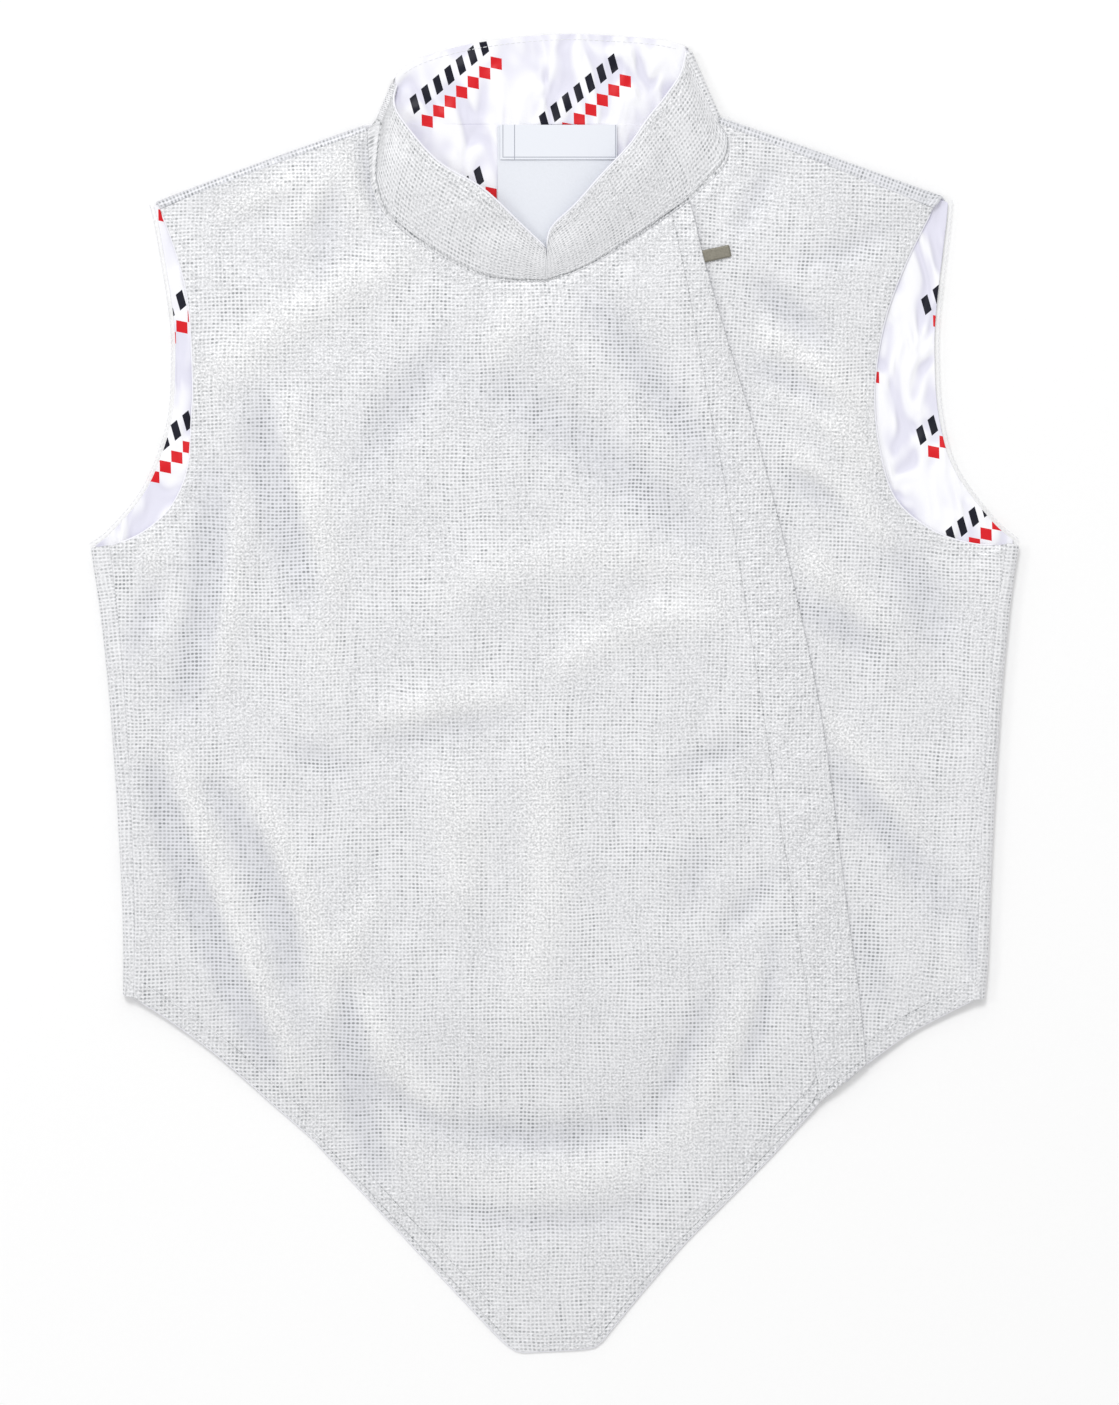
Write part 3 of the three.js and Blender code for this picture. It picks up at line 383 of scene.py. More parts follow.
def flap_top(spots):
    """Upper face of the flap: it rises a little from the stitch line over the zip and dips at its edge."""
    from_stitch = distance_to(stitch_line, spots)
    share = from_stitch / (from_stitch + distance_to(flap_edge, spots) + 1e-9)
    level = STITCH_LEVEL + (FLAP_LEVEL - STITCH_LEVEL) * smoothstep(share, 0, 0.35)
    level += (FLAP_EDGE_LEVEL - level) * smoothstep(share, 0.7, 1)
    level += (FLAP_NECK_LEVEL - level) * bell(distance_to(neck_flap, spots), 16)
    pucker = rumple(spots * np.array([0.6, 1.0]), 31, 9, 0.14) + rumple(spots, 32, 30, 0.2)
    return rest_level(spots) + level + tent(spots) + FRONT_WALL + pucker * np.sin(math.pi * np.clip(share, 0, 1))


def side_top(spots):
    """Upper face of the left front: flat under the flap, but it swells to meet the flap's free edge, and
    past that it lies with its own loft."""
    shown = distance_to(stitch_line, spots) > distance_to(flap_edge, spots)
    nearest = flap_edge[np.argmin(np.linalg.norm(spots[..., None, :] - flap_edge[::4], axis=-1), axis=-1) * 4]
    shown &= distance_to(stitch_line, spots) > distance_to(stitch_line, nearest)
    gap = distance_to(flap_edge, spots)
    swell = FLAP_SWELL * np.where(shown, bell(gap, 22), bell(gap, 4))
    loft = front_loft(spots, CREASES_LEFT, FINE_LEFT, 21) * smoothstep(gap * shown, 0, 14)
    return rest_level(spots) + np.maximum(loft, swell) + 0.25 * tent(spots) + FRONT_WALL


# %% [markdown]
# ## From surfaces to cloth
# A sheet could get its thickness from a Solidify modifier. Here the wall is made with the surface instead:
# a second grid one wall below the first, and between them a rim pushed out a little at half height, so
# that every edge reads as cloth turned under and not as a cut board.
# %% Meshes from grids
def normals_of(grid):
    """Unit normals of a grid of points: the cross product of its two directions."""
    across = np.gradient(grid, axis=1)
    upward = np.gradient(grid, axis=0)
    normal = np.cross(across, upward)
    return normal / np.maximum(np.linalg.norm(normal, axis=-1, keepdims=True), 1e-9)


def rim_loop(rows, columns):
    """Indices of a grid's outline in order, once round."""
    index = np.arange(rows * columns).reshape(rows, columns)
    return np.concatenate([index[0, :-1], index[:-1, -1], index[-1, :0:-1], index[:0:-1, 0]])


def hung_below(outer, wall):
    """The grid one wall further down along the normals: the cloth's other face."""
    normal = normals_of(outer)
    return outer - wall * normal * np.sign(normal[..., 2].mean())


def edge_lines(sheet, inset=0.3):
    """Adds a line of points just inside each edge of a grid, so that smooth shading turns only there. The
    share of a step is worked out from the first three values, the place in millimetres."""
    for axis in (0, 1):
        sheet = np.moveaxis(sheet, axis, 0)
        near = [sheet[1] - sheet[0], sheet[-2] - sheet[-1]]
        share = [np.minimum(inset / np.maximum(np.linalg.norm(d[..., :3], axis=-1, keepdims=True), 1e-6), 0.5)
                 for d in near]
        first, last = sheet[0] + near[0] * share[0], sheet[-1] + near[1] * share[1]
        sheet = np.moveaxis(np.concatenate([sheet[:1], first[None], sheet[1:-1], last[None], sheet[-1:]]), 0, axis)
    return sheet


def wall_parts(outer, inner, uv, marks, bulge=0.35):
    """Vertices, faces, uv, marks and face layers of a closed wall between two grids.
    Layer 0 is the outer face with the rim, and 1 the inner face."""
    sheet = edge_lines(np.concatenate([outer, inner, uv, marks], axis=-1))
    outer, inner, uv, marks = sheet[..., :3], sheet[..., 3:6], sheet[..., 6:8], sheet[..., 8:]
    rows, columns = outer.shape[:2]
    index = np.arange(rows * columns).reshape(rows, columns)
    loop = rim_loop(rows, columns)
    within = index[np.clip(loop // columns, 1, rows - 2), np.clip(loop % columns, 1, columns - 2)]
    above, below = outer.reshape(-1, 3), inner.reshape(-1, 3)
    push = above[loop] - above[within]
    push /= np.maximum(np.linalg.norm(push, axis=1, keepdims=True), 1e-9)
    wall = np.linalg.norm(above[loop] - below[loop], axis=1, keepdims=True)
    middle = (above[loop] + below[loop]) / 2 + push * wall * bulge
    top = np.stack([index[:-1, :-1], index[:-1, 1:], index[1:, 1:], index[1:, :-1]], axis=-1).reshape(-1, 4)
    count = rows * columns
    ahead = np.roll(np.arange(len(loop)), -1)
    ring = 2 * count + np.arange(len(loop))
    upper = np.stack([loop[ahead], loop, ring, ring[ahead]], axis=1)
    lower = np.stack([ring[ahead], ring, loop + count, loop[ahead] + count], axis=1)
    faces = np.vstack([top, top[:, ::-1] + count, upper, lower])
    layers = np.repeat([0, 1, 0, 0], [len(top), len(top), len(upper), len(lower)])
    spots = uv.reshape(-1, 2)
    values = marks.reshape(-1, 2)
    return (np.vstack([above, below, middle]), faces, np.vstack([spots, spots, spots[loop]]),
            np.vstack([values, values, values[loop]]), layers)


def signed_volume(points, faces):
    """Volume inside a closed mesh, negative where its faces point inwards: each face's two triangles
    with the origin."""
    p = points[faces]
    first = np.einsum("ij,ij->i", p[:, 0], np.cross(p[:, 1], p[:, 2]))
    second = np.einsum("ij,ij->i", p[:, 0], np.cross(p[:, 2], p[:, 3]))
    return (first + second).sum() / 6


def add_mesh(name, points, faces, materials, layers=None, uv=None, marks=None, smooth=True):
    """A mesh object from points in millimetres and faces as rows of corners, origin and scale untouched."""
    mesh = bpy.data.meshes.new(name)
    mesh.from_pydata((points * MM).tolist(), [], faces if isinstance(faces, list) else faces.tolist())
    for material in materials:
        mesh.materials.append(material)
    if layers is not None:
        mesh.polygons.foreach_set("material_index", layers.astype(np.int32))
    if uv is not None:
        corners = np.empty(len(mesh.loops), np.int32)
        mesh.loops.foreach_get("vertex_index", corners)
        mesh.uv_layers.new(name="weave").data.foreach_set("uv", (uv * MM)[corners].ravel())
    if marks is not None:
        for column, attribute in enumerate(("seam_mm", "ridge_mm")):
            values = np.ascontiguousarray(marks[:, column], dtype=np.float32)
            mesh.attributes.new(attribute, "FLOAT", "POINT").data.foreach_set("value", values)
    mesh.polygons.foreach_set("use_smooth", np.full(len(faces), smooth))
    mesh.update()
    piece = bpy.data.objects.new(name, mesh)
    bpy.context.scene.collection.objects.link(piece)
    return piece


NO_SEAM = 99.0


def add_cloth(name, shells, outside, inside):
    """One cloth of one or more closed walls; a shell is (outer grid, inner grid, uv, marks). Marks are the
    distance to the nearest seam and, where the cloth has creases, their height."""
    parts = []
    for outer, inner, uv, marks in shells:
        uv = outer[..., :2] if uv is None else uv
        marks = np.full(outer.shape[:2], NO_SEAM) if marks is None else marks
        marks = marks if marks.ndim == 3 else np.stack([marks, np.zeros(outer.shape[:2])], axis=-1)
        points, faces, spots, values, layers = wall_parts(outer, inner, uv, marks)
        faces = faces[:, ::-1] if signed_volume(points, faces) < 0 else faces
        parts.append((points, faces, spots, values, layers))
    shift = np.cumsum([0] + [len(part[0]) for part in parts[:-1]])
    faces = np.vstack([part[1] + by for part, by in zip(parts, shift)])
    points, spots, values = (np.vstack([part[k] for part in parts]) for k in (0, 2, 3))
    layers = np.concatenate([part[4] for part in parts])
    piece = add_mesh(name, points, faces, [outside, inside], layers, spots, values)
    print(f"{name}: {len(faces)} faces, {np.ptp(points[:, 0]):.0f} x {np.ptp(points[:, 1]):.0f} mm")
    return piece


def raise_grid(plan, height):
    """Puts a height on each plan point."""
    return np.concatenate([plan, height[..., None]], axis=-1)


def turned(plan, angle):
    """Plan points turned about the origin by an angle in radians."""
    return plan @ np.array([[math.cos(angle), math.sin(angle)], [-math.sin(angle), math.cos(angle)]])


def declare_sheet(with_pieces=()):
    """Lists the given pieces and does nothing more."""
    list(with_pieces)


def dress(piece, node, body="vest"):
    """The piece stands for a node: the node's solid is hidden and the piece rides with its body."""
    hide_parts(node)
    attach(piece, body)


# %% [markdown]
# ## Materials
# One function turns a hex colour into linear light, and one adds a node with its settings and links. Each
# finish is then a short list of nodes that reads like the real thing is made.
# %% Material helpers
def hex_colour(code):
    """sRGB hex to linear: c / 12.92 below 0.04045, else ((c + 0.055) / 1.055) ^ 2.4."""
    parts = [int(code[i:i + 2], 16) / 255 for i in (1, 3, 5)]
    return tuple(c / 12.92 if c <= 0.04045 else ((c + 0.055) / 1.055) ** 2.4 for c in parts) + (1.0,)


def add_node(tree, kind, inputs=None, **settings):
    """Adds a node, sets its properties, and sets or links its inputs by name or number."""
    made = tree.nodes.new(kind)
    for key, value in settings.items():
        setattr(made, key, value)
    for key, value in (inputs or {}).items():
        if isinstance(value, bpy.types.NodeSocket):
            tree.links.new(value, made.inputs[key])
        else:
            made.inputs[key].default_value = value
    return made


def new_material(name, colour):
    """A material with a Principled shader; returns it, its node tree and the shader."""
    material = bpy.data.materials.new(name)
    material.use_nodes = True
    material.diffuse_color = hex_colour(colour)
    tree = material.node_tree
    shader = tree.nodes["Principled BSDF"]
    shader.inputs["Base Color"].default_value = hex_colour(colour)
    return material, tree, shader


def ramp_between(tree, value, low, high):
    """Smooth step of a value from 0 at low to 1 at high."""
    return add_node(tree, "ShaderNodeMapRange", {0: value, 1: low, 2: high},
                    interpolation_type="SMOOTHSTEP").outputs[0]


def in_range(tree, value, low, high, to_low=0.0, to_high=1.0):
    """A value carried in a straight line from one range to another."""
    return add_node(tree, "ShaderNodeMapRange", {0: value, 1: low, 2: high, 3: to_low, 4: to_high}).outputs[0]


def blend(tree, share, first, second):
    """A share of the second colour over the first; each is a hex code, a linear colour or a socket."""
    first, second = (hex_colour(c) if isinstance(c, str) else c for c in (first, second))
    return add_node(tree, "ShaderNodeMix", {0: share, 6: first, 7: second}, data_type="RGBA").outputs[2]


def calculator(tree):
    """A function that adds one sum to a tree and gives its result."""
    def calc(operation, first, second=0.0, third=0.0, clamp=False):
        return add_node(tree, "ShaderNodeMath", {0: first, 1: second, 2: third}, operation=operation,
                        use_clamp=clamp).outputs[0]
    return calc


def cloth_mm(tree):
    """The cloth's own plan coordinates in millimetres."""
    uv = add_node(tree, "ShaderNodeUVMap", uv_map="weave").outputs[0]
    return add_node(tree, "ShaderNodeVectorMath", {0: uv, "Scale": 1 / MM}, operation="SCALE").outputs[0]


def bumped(tree, shader, height, strength, distance):
    """Dents the shader's normal by a height; the distance in metres is that of a height of 1."""
    bump = add_node(tree, "ShaderNodeBump", {"Height": height, "Strength": strength, "Distance": distance})
    tree.links.new(bump.outputs[0], shader.inputs["Normal"])


# %% [markdown]
# ### Metallic cloth
# Lamé is a plain weave with fine steel threads, so it is nearly white, glints in patches, and shows a grid
# of small dark gaps where the threads cross. The gaps are about 2.2 mm apart across and 2.1 mm along. They
# are uneven: some rows and columns are darker, and each gap has its own depth. The threads wander a little.
# %% Lame
WARP_PITCH = 2.24
WEFT_PITCH = 2.08


# The hollow colour is painted shade, laid over the troughs of the creases.
def lame_material(name, light="#fafafb", hollow="#dfe0e6", gap="#75797c"):
    """Colour = light thread, turned towards the hollow colour as painted shade in the troughs of the creases,
    darkened in a flat ellipse at the middle of each weave cell by the cell's own random depth times its row's
    or its column's, then by a fine glitter of the metal threads. Where the cloth catches the light the glitter
    drowns the grid, so slow patches trade the one for the other, and the clearer grid paints the troughs darker."""
    material, tree, shader = new_material(name, light)
    mm, calc = cloth_mm(tree), calculator(tree)

    def vector(operation, first, second=None, scale=None):
        inputs = {0: first}
        inputs.update({} if second is None else {1: second})
        inputs.update({} if scale is None else {"Scale": scale})
        return add_node(tree, "ShaderNodeVectorMath", inputs, operation=operation)

    def noise(scale, detail=2.0, low=0.3, high=0.7, to_low=0.0, to_high=1.0, place=None):
        made = add_node(tree, "ShaderNodeTexNoise", {"Vector": mm if place is None else place, "Scale": scale,
                                                     "Detail": detail}).outputs[0]
        return in_range(tree, made, low, high, to_low, to_high)

    # The threads wander sideways by a millimetre or two, in slow waves about 50 mm long.
    wander = add_node(tree, "ShaderNodeTexNoise", {"Vector": mm, "Scale": 0.02, "Detail": 2.0}).outputs["Color"]
    off = vector("SCALE", vector("SUBTRACT", wander, (0.5, 0.5, 0.5)).outputs[0], scale=6.0).outputs[0]
    threads = vector("ADD", mm, off).outputs[0]
    # Each gap is an ellipse at its cell's middle, full inside 0.14 of a cell and gone at 0.50.
    cells = vector("MULTIPLY", threads, (1 / WARP_PITCH, 1 / WEFT_PITCH, 0)).outputs[0]
    which = vector("FLOOR", cells).outputs[0]
    middle = vector("SUBTRACT", vector("FRACTION", cells).outputs[0], (0.5, 0.5, 0)).outputs[0]
    reach = vector("LENGTH", vector("MULTIPLY", middle, (0.9, 1.15, 0)).outputs[0]).outputs["Value"]
    hole = ramp_between(tree, reach, 0.50, 0.14)
    own = add_node(tree, "ShaderNodeTexWhiteNoise", {"Vector": which}, noise_dimensions="3D").outputs["Value"]
    own = in_range(tree, own, 0.0, 1.0, 0.45, 1.0)
    # Noise drawn out twenty times along a column or a row of cells makes whole runs of them darker.
    down = noise(0.45, 2.0, 0.35, 0.65, place=vector("MULTIPLY", which, (1.0, 0.05, 0)).outputs[0])
    across = noise(0.45, 2.0, 0.35, 0.65, place=vector("MULTIPLY", which, (0.05, 1.0, 0)).outputs[0])
    lines = calc("MULTIPLY_ADD", calc("MAXIMUM", down, calc("MULTIPLY", across, 0.8)), 0.6, 0.43)
    # The grid is clear in the troughs of the creases and faint on their ridges, which face the light; with the
    # hollow colour this is painted shade that makes the troughs darker.
    ridge = add_node(tree, "ShaderNodeAttribute", attribute_name="ridge_mm").outputs["Fac"]
    trough_shade = ramp_between(tree, ridge, 1.2, -1.8)
    clear = calc("MULTIPLY_ADD", calc("SUBTRACT", trough_shade, 0.4), 0.7, noise(0.03, 3.0, 0.38, 0.62, 0.5, 1.1))
    dark = calc("MULTIPLY", calc("MULTIPLY", hole, own), calc("MULTIPLY", lines, clear), clamp=True)
    glitter = noise(0.8, 3.0, 0.40, 0.62, 0.0, 1.0)
    # Beside a seam the cloth puckers for some 6 mm, and the row of stitches itself is a groove, dented in the
    # bump and darkened with painted shade.
    seam = add_node(tree, "ShaderNodeAttribute", attribute_name="seam_mm").outputs["Fac"]
    groove_shade = ramp_between(tree, seam, 1.2, 0.2)
    near = ramp_between(tree, seam, 6.0, 1.0)
    glitter = calc("MULTIPLY", glitter, calc("MULTIPLY_ADD", near, 0.12, calc("SUBTRACT", 1.4, clear)))
    shade = calc("MULTIPLY_ADD", glitter, 0.34, calc("MULTIPLY", dark, 0.80))
    # Painted shade: along each row of stitches the colour is darkened towards the gap colour.
    shade = calc("MULTIPLY_ADD", groove_shade, calc("MULTIPLY_ADD", glitter, 0.5, 0.16), shade, clamp=True)
    # Painted shade: the light thread colour turns towards the hollow colour in the troughs of the creases.
    shaded_ground = blend(tree, calc("MULTIPLY", trough_shade, 0.8), light, hollow)
    tree.links.new(blend(tree, shade, shaded_ground, gap), shader.inputs["Base Color"])
    pucker = calc("MULTIPLY", noise(0.2), near)
    height = calc("MULTIPLY_ADD", dark, -0.16, calc("MULTIPLY", glitter, 0.22))
    height = calc("MULTIPLY_ADD", noise(0.045, 3.0), 0.4, height)
    height = calc("MULTIPLY_ADD", pucker, 0.7, height)
    height = calc("MULTIPLY_ADD", groove_shade, -0.55, height)
    bumped(tree, shader, height, 0.6, 0.001)
    # Drawn steel thread is near 0.3 in roughness and cotton near 0.9; the weave of both lies between.
    tree.links.new(in_range(tree, own, 0.45, 1.0, 0.48, 0.64), shader.inputs["Roughness"])
    shader.inputs["Metallic"].default_value = 0.32
    return material


# %% [markdown]
# ### Satin lining
# Polyester satin is smooth and soft-glossy, and its white leans to lavender. Its print is a plain geometric
# one: short runs of navy slanted bars over red lozenges, set in rows that step by half a repeat. It could be
# an image, but bars and lozenges are short sums on the cloth's own millimetres, and stay sharp at any zoom.
# %% Satin
PRINT_ANGLE = math.radians(40)
PRINT_REPEAT = 98.0
PRINT_ROW = 54.0
MOTIF_PITCH = 8.4
PRINT_RUN = 7 * MOTIF_PITCH
NAVY_INK, RED_INK = "#0c0e20", "#dc1420"
# Bars: width, lean, and middle and half height in the row. Lozenges: middle in the row and half sizes.
BAR_WIDTH, BAR_LEAN, BAR_MIDDLE, BAR_HALF = 4.6, -0.45, 6.2, 4.2
LOZENGE_MIDDLE, LOZENGE_HALF_WIDTH, LOZENGE_HALF_HEIGHT = -5.6, 4.0, 5.0


def satin_material(name, printed=True, white="#fbfbff", fold_shade="#e4e3f1"):
    """Print in turned axes a, b: a cell of one repeat by one row, half-dropped on odd rows; bars where
    a sheared sawtooth is low, lozenges where |a| / w + |b| / h is under 1. Soft wrinkles run in bent bands,
    as bumps and as painted lavender shade where the satin turns away."""
    material, tree, shader = new_material(name, white)
    shader.inputs["Roughness"].default_value = 0.4
    shader.inputs["Sheen Weight"].default_value = 0.05
    shader.inputs["Specular IOR Level"].default_value = 0.25
    mm, calc = cloth_mm(tree), calculator(tree)
    stretch = add_node(tree, "ShaderNodeMapping", {"Vector": mm, "Rotation": (0, 0, 0.5), "Scale": (1.0, 0.45, 1)})
    ripple = add_node(tree, "ShaderNodeTexNoise", {"Vector": stretch.outputs[0], "Scale": 0.055, "Detail": 1.0,
                                                   "Distortion": 1.2}).outputs[0]
    bumped(tree, shader, ripple, 0.8, 0.006)
    # Painted shade: the white turns to the lavender fold colour where the wrinkles turn away from the light.
    shaded_ground = blend(tree, ramp_between(tree, ripple, 0.56, 0.36), white, fold_shade)
    tree.links.new(shaded_ground, shader.inputs["Base Color"])
    if not printed:
        return material

    split = add_node(tree, "ShaderNodeSeparateXYZ", {0: mm})
    x, y = split.outputs[0], split.outputs[1]
    a = calc("MULTIPLY_ADD", x, math.cos(PRINT_ANGLE), calc("MULTIPLY", y, math.sin(PRINT_ANGLE)))
    b = calc("MULTIPLY_ADD", y, math.cos(PRINT_ANGLE), calc("MULTIPLY", x, -math.sin(PRINT_ANGLE)))
    rows = calc("DIVIDE", b, PRINT_ROW)
    odd = calc("FLOORED_MODULO", calc("FLOOR", rows), 2.0)
    a = calc("MULTIPLY_ADD", odd, PRINT_REPEAT / 2, a)
    run = calc("FLOORED_MODULO", a, PRINT_REPEAT)
    rise = calc("SUBTRACT", calc("MULTIPLY", calc("FRACT", rows), PRINT_ROW), PRINT_ROW / 2)
    in_run = calc("LESS_THAN", run, PRINT_RUN)
    lean = calc("MULTIPLY_ADD", rise, BAR_LEAN, run)
    whole = calc("LESS_THAN", calc("ABSOLUTE", calc("SUBTRACT", lean, PRINT_RUN / 2)), PRINT_RUN / 2)
    bar = calc("MULTIPLY", calc("LESS_THAN", calc("FLOORED_MODULO", lean, MOTIF_PITCH), BAR_WIDTH), whole)
    upper = calc("LESS_THAN", calc("ABSOLUTE", calc("SUBTRACT", rise, BAR_MIDDLE)), BAR_HALF)
    navy = calc("MULTIPLY", bar, upper)
    across = calc("ABSOLUTE", calc("SUBTRACT", calc("FLOORED_MODULO", run, MOTIF_PITCH), MOTIF_PITCH / 2))
    tall = calc("ABSOLUTE", calc("SUBTRACT", rise, LOZENGE_MIDDLE))
    reach = calc("ADD", calc("DIVIDE", across, LOZENGE_HALF_WIDTH), calc("DIVIDE", tall, LOZENGE_HALF_HEIGHT))
    red = calc("MULTIPLY", calc("LESS_THAN", reach, 1.0), in_run)
    inked = blend(tree, red, blend(tree, navy, shaded_ground, NAVY_INK), RED_INK)
    tree.links.new(inked, shader.inputs["Base Color"])
    return material


# %% Plain finishes
def grained_material(name, colour, roughness, metallic=0.0, scale=900.0, depth=0.2):
    """A finish whose colour and roughness waver with a fine noise of a given scale per metre."""
    material, tree, shader = new_material(name, colour)
    place = add_node(tree, "ShaderNodeTexCoord").outputs["Object"]
    grain = add_node(tree, "ShaderNodeTexNoise", {"Vector": place, "Scale": scale, "Detail": 3.0}).outputs[0]
    low, high = (tuple(c * k for c in hex_colour(colour)[:3]) + (1.0,) for k in (1 - depth, 1 + depth * 0.4))
    tree.links.new(blend(tree, grain, low, high), shader.inputs["Base Color"])
    rough = in_range(tree, grain, 0.0, 1.0, roughness * 0.8, roughness * 1.2)
    tree.links.new(rough, shader.inputs["Roughness"])
    bumped(tree, shader, grain, 0.25, 0.0002)
    shader.inputs["Metallic"].default_value = metallic
    return material


# The woven frame of the neck label, in metres: middle, half sizes, the bar's x and half of the line's width.
FRAME_X, FRAME_Y, FRAME_HALF_X, FRAME_HALF_Y, BAR_X, LINE_HALF = 0.0024, 0.3094, 0.0315, 0.0094, -0.0226, 0.00022


def label_material(name, colour, line_colour):
    """Plain taffeta with one fine woven frame: a line where the distance inside the nearest border, the
    larger of |x - middle| - half and |y - middle| - half, is near 0, and one bar across it."""
    material, tree, shader = new_material(name, colour)
    shader.inputs["Roughness"].default_value = 0.5
    calc = calculator(tree)
    uv = add_node(tree, "ShaderNodeUVMap", uv_map="weave").outputs[0]
    split = add_node(tree, "ShaderNodeSeparateXYZ", {0: uv})
    x, y = split.outputs[0], split.outputs[1]
    beside = calc("SUBTRACT", calc("ABSOLUTE", calc("SUBTRACT", x, FRAME_X)), FRAME_HALF_X)
    above = calc("SUBTRACT", calc("ABSOLUTE", calc("SUBTRACT", y, FRAME_Y)), FRAME_HALF_Y)
    frame_line = calc("LESS_THAN", calc("ABSOLUTE", calc("MAXIMUM", beside, above)), LINE_HALF)
    bar = calc("LESS_THAN", calc("ABSOLUTE", calc("SUBTRACT", x, BAR_X)), LINE_HALF)
    marked = calc("MULTIPLY", calc("MAXIMUM", frame_line, bar), 0.75)
    tree.links.new(blend(tree, marked, colour, line_colour), shader.inputs["Base Color"])
    return material


lame = lame_material("lame_weave")
satin_print = satin_material("satin_printed")
satin_plain = satin_material("satin_plain", printed=False)
label_cloth = grained_material("label_taffeta", "#e8ebf2", 0.6, depth=0.05)
thread = grained_material("polyester_thread", "#f2f3f5", 0.55, scale=2500.0, depth=0.12)
cord_edge = grained_material("satin_edge", "#f6f6fc", 0.4, scale=1200.0, depth=0.05)
framed_label = label_material("label_framed", "#e9ecf3", "#757a8c")
tape = grained_material("zip_tape_twill", "#e6e6ea", 0.8, scale=1500.0, depth=0.1)
zip_metal = grained_material("plated_zinc", "#938f83", 0.42, metallic=0.85, scale=900.0, depth=0.35)
print("materials:", [m.name for m in bpy.data.materials])

# %% [markdown]
# ## The front
# The right front runs from the side seam to the stitch line beside the zip, the flap covers the zip, and
# the left front comes out from under it. Each is a patch of four edges raised to its height.
# %% Front panels
def seam_marks(spots, *lines):
    """Distance in mm to the nearest of several stitch lines, for the dip, the pucker and the painted groove shade
    along them.
    """
    return np.min([distance_to(line, spots) for line in lines], axis=0)


def with_ridges(marks, spots, *tables):
    """Puts the height of the creases beside the distances to the seams; the lamé reads it to paint shade in the
    troughs.
    """
    return np.stack([marks, sum(crease_height(table, spots) for table in tables)], axis=-1)


# How far inside its edge each row of stitches runs, in millimetres: two along the hem, two at the neck.
HEM_ROWS, NECK_ROWS, ARMHOLE_ROW = np.array([2.2, 9.0]), np.array([4.5, 6.6]), 4.0
# A seam mark of 0 is the deepest groove, with the darkest painted shade. These are added to make the grooves of some
# rows fainter.
FAINT_HEM, FAINT = 0.25, 0.7
FLAP_MARK = 2.6
hem_near, hem_far = (aside(front_hem, inset) for inset in HEM_ROWS)


def hem_marks(spots, *lines):
    """Seam distances of a front: the rows of the hem bite deepest, with the darkest painted groove shade, and the
    others lie lighter.
    """
    return np.minimum(FAINT_HEM + seam_marks(spots, hem_near, hem_far), FAINT + seam_marks(spots, *lines))


main_top_edge = chain(seam_shoulder_left, neck_left[::-1], neck_right)
main_bottom_edge = chain(hem_left, hem_point_left, hem_point_right)
main_left = chain(seam_left, armhole_front_left)
main_left[0], main_left[-1] = hem_left[0], seam_shoulder_left[0]
main_plan = patch(main_bottom_edge, main_top_edge, main_left, stitch_line)
flap_shares = np.concatenate([np.linspace(0, 0.94, 15), [0.98, 1.0]])[None, :, None]
flap_plan = stitch_line[:, None] + (flap_edge - stitch_line)[:, None] * flap_shares
right_plan = np.concatenate([main_plan, flap_plan[:, 1:]], axis=1)
right_high = np.concatenate([main_top(main_plan), flap_top(flap_plan)[:, 1:]], axis=1)
right_grid = raise_grid(right_plan, right_high)
right_marks = hem_marks(right_plan, stitch_line, aside(armhole_front_left, -ARMHOLE_ROW),
                        aside(neck_left, NECK_ROWS[0]), aside(neck_right, -NECK_ROWS[0]))
# All of the flap counts as near a seam, so all of it puckers.
right_marks[:, main_plan.shape[1] + 1:] = np.minimum(right_marks[:, main_plan.shape[1] + 1:], FLAP_MARK)
right_marks = with_ridges(right_marks, right_plan, CREASES_RIGHT, FINE_RIGHT)
front_right_cloth = add_cloth("front_right_cloth", [(right_grid, hung_below(right_grid, FRONT_WALL), None,
                                                     right_marks)], lame, satin_plain)

SIDE_WEAVE_TURN = math.radians(3)
UNDER_FLAP = 0.35
side_inner_edge = stitch_line + (flap_edge - stitch_line) * UNDER_FLAP
side_inner_edge = resample(side_inner_edge, front_rows - STEPS["neck_side"] - 1)
side_inner_edge = np.vstack([side_inner_edge, neck_side])
side_bottom_edge = np.vstack([side_inner_edge[:1], hem_side])
side_top_edge = resample(seam_shoulder_right[::-1], len(side_bottom_edge) - 1)
side_outer_edge = chain(seam_right, armhole_front_right)
side_outer_edge[0], side_outer_edge[-1] = hem_side[-1], seam_shoulder_right[0]
side_plan = patch(side_bottom_edge, side_top_edge, side_inner_edge, side_outer_edge, reach=1.0)
side_grid = raise_grid(side_plan, side_top(side_plan))
side_marks = hem_marks(side_plan, aside(armhole_front_right, ARMHOLE_ROW), aside(neck_side, -NECK_ROWS[0]))
side_marks = with_ridges(side_marks, side_plan, CREASES_LEFT, FINE_LEFT)
front_left_cloth = add_cloth("front_left_cloth", [(side_grid, hung_below(side_grid, FRONT_WALL),
                                                   turned(side_plan, SIDE_WEAVE_TURN), side_marks)], lame,
                             satin_plain)

# %% [markdown]
# ## The back
# The back lies flat under all this and comes round to the front at its sides and shoulders. Each rolled
# edge is half a circle between two flats, and meets the flat back in one line.
# %% Back panel
ROLL_STEPS = 14


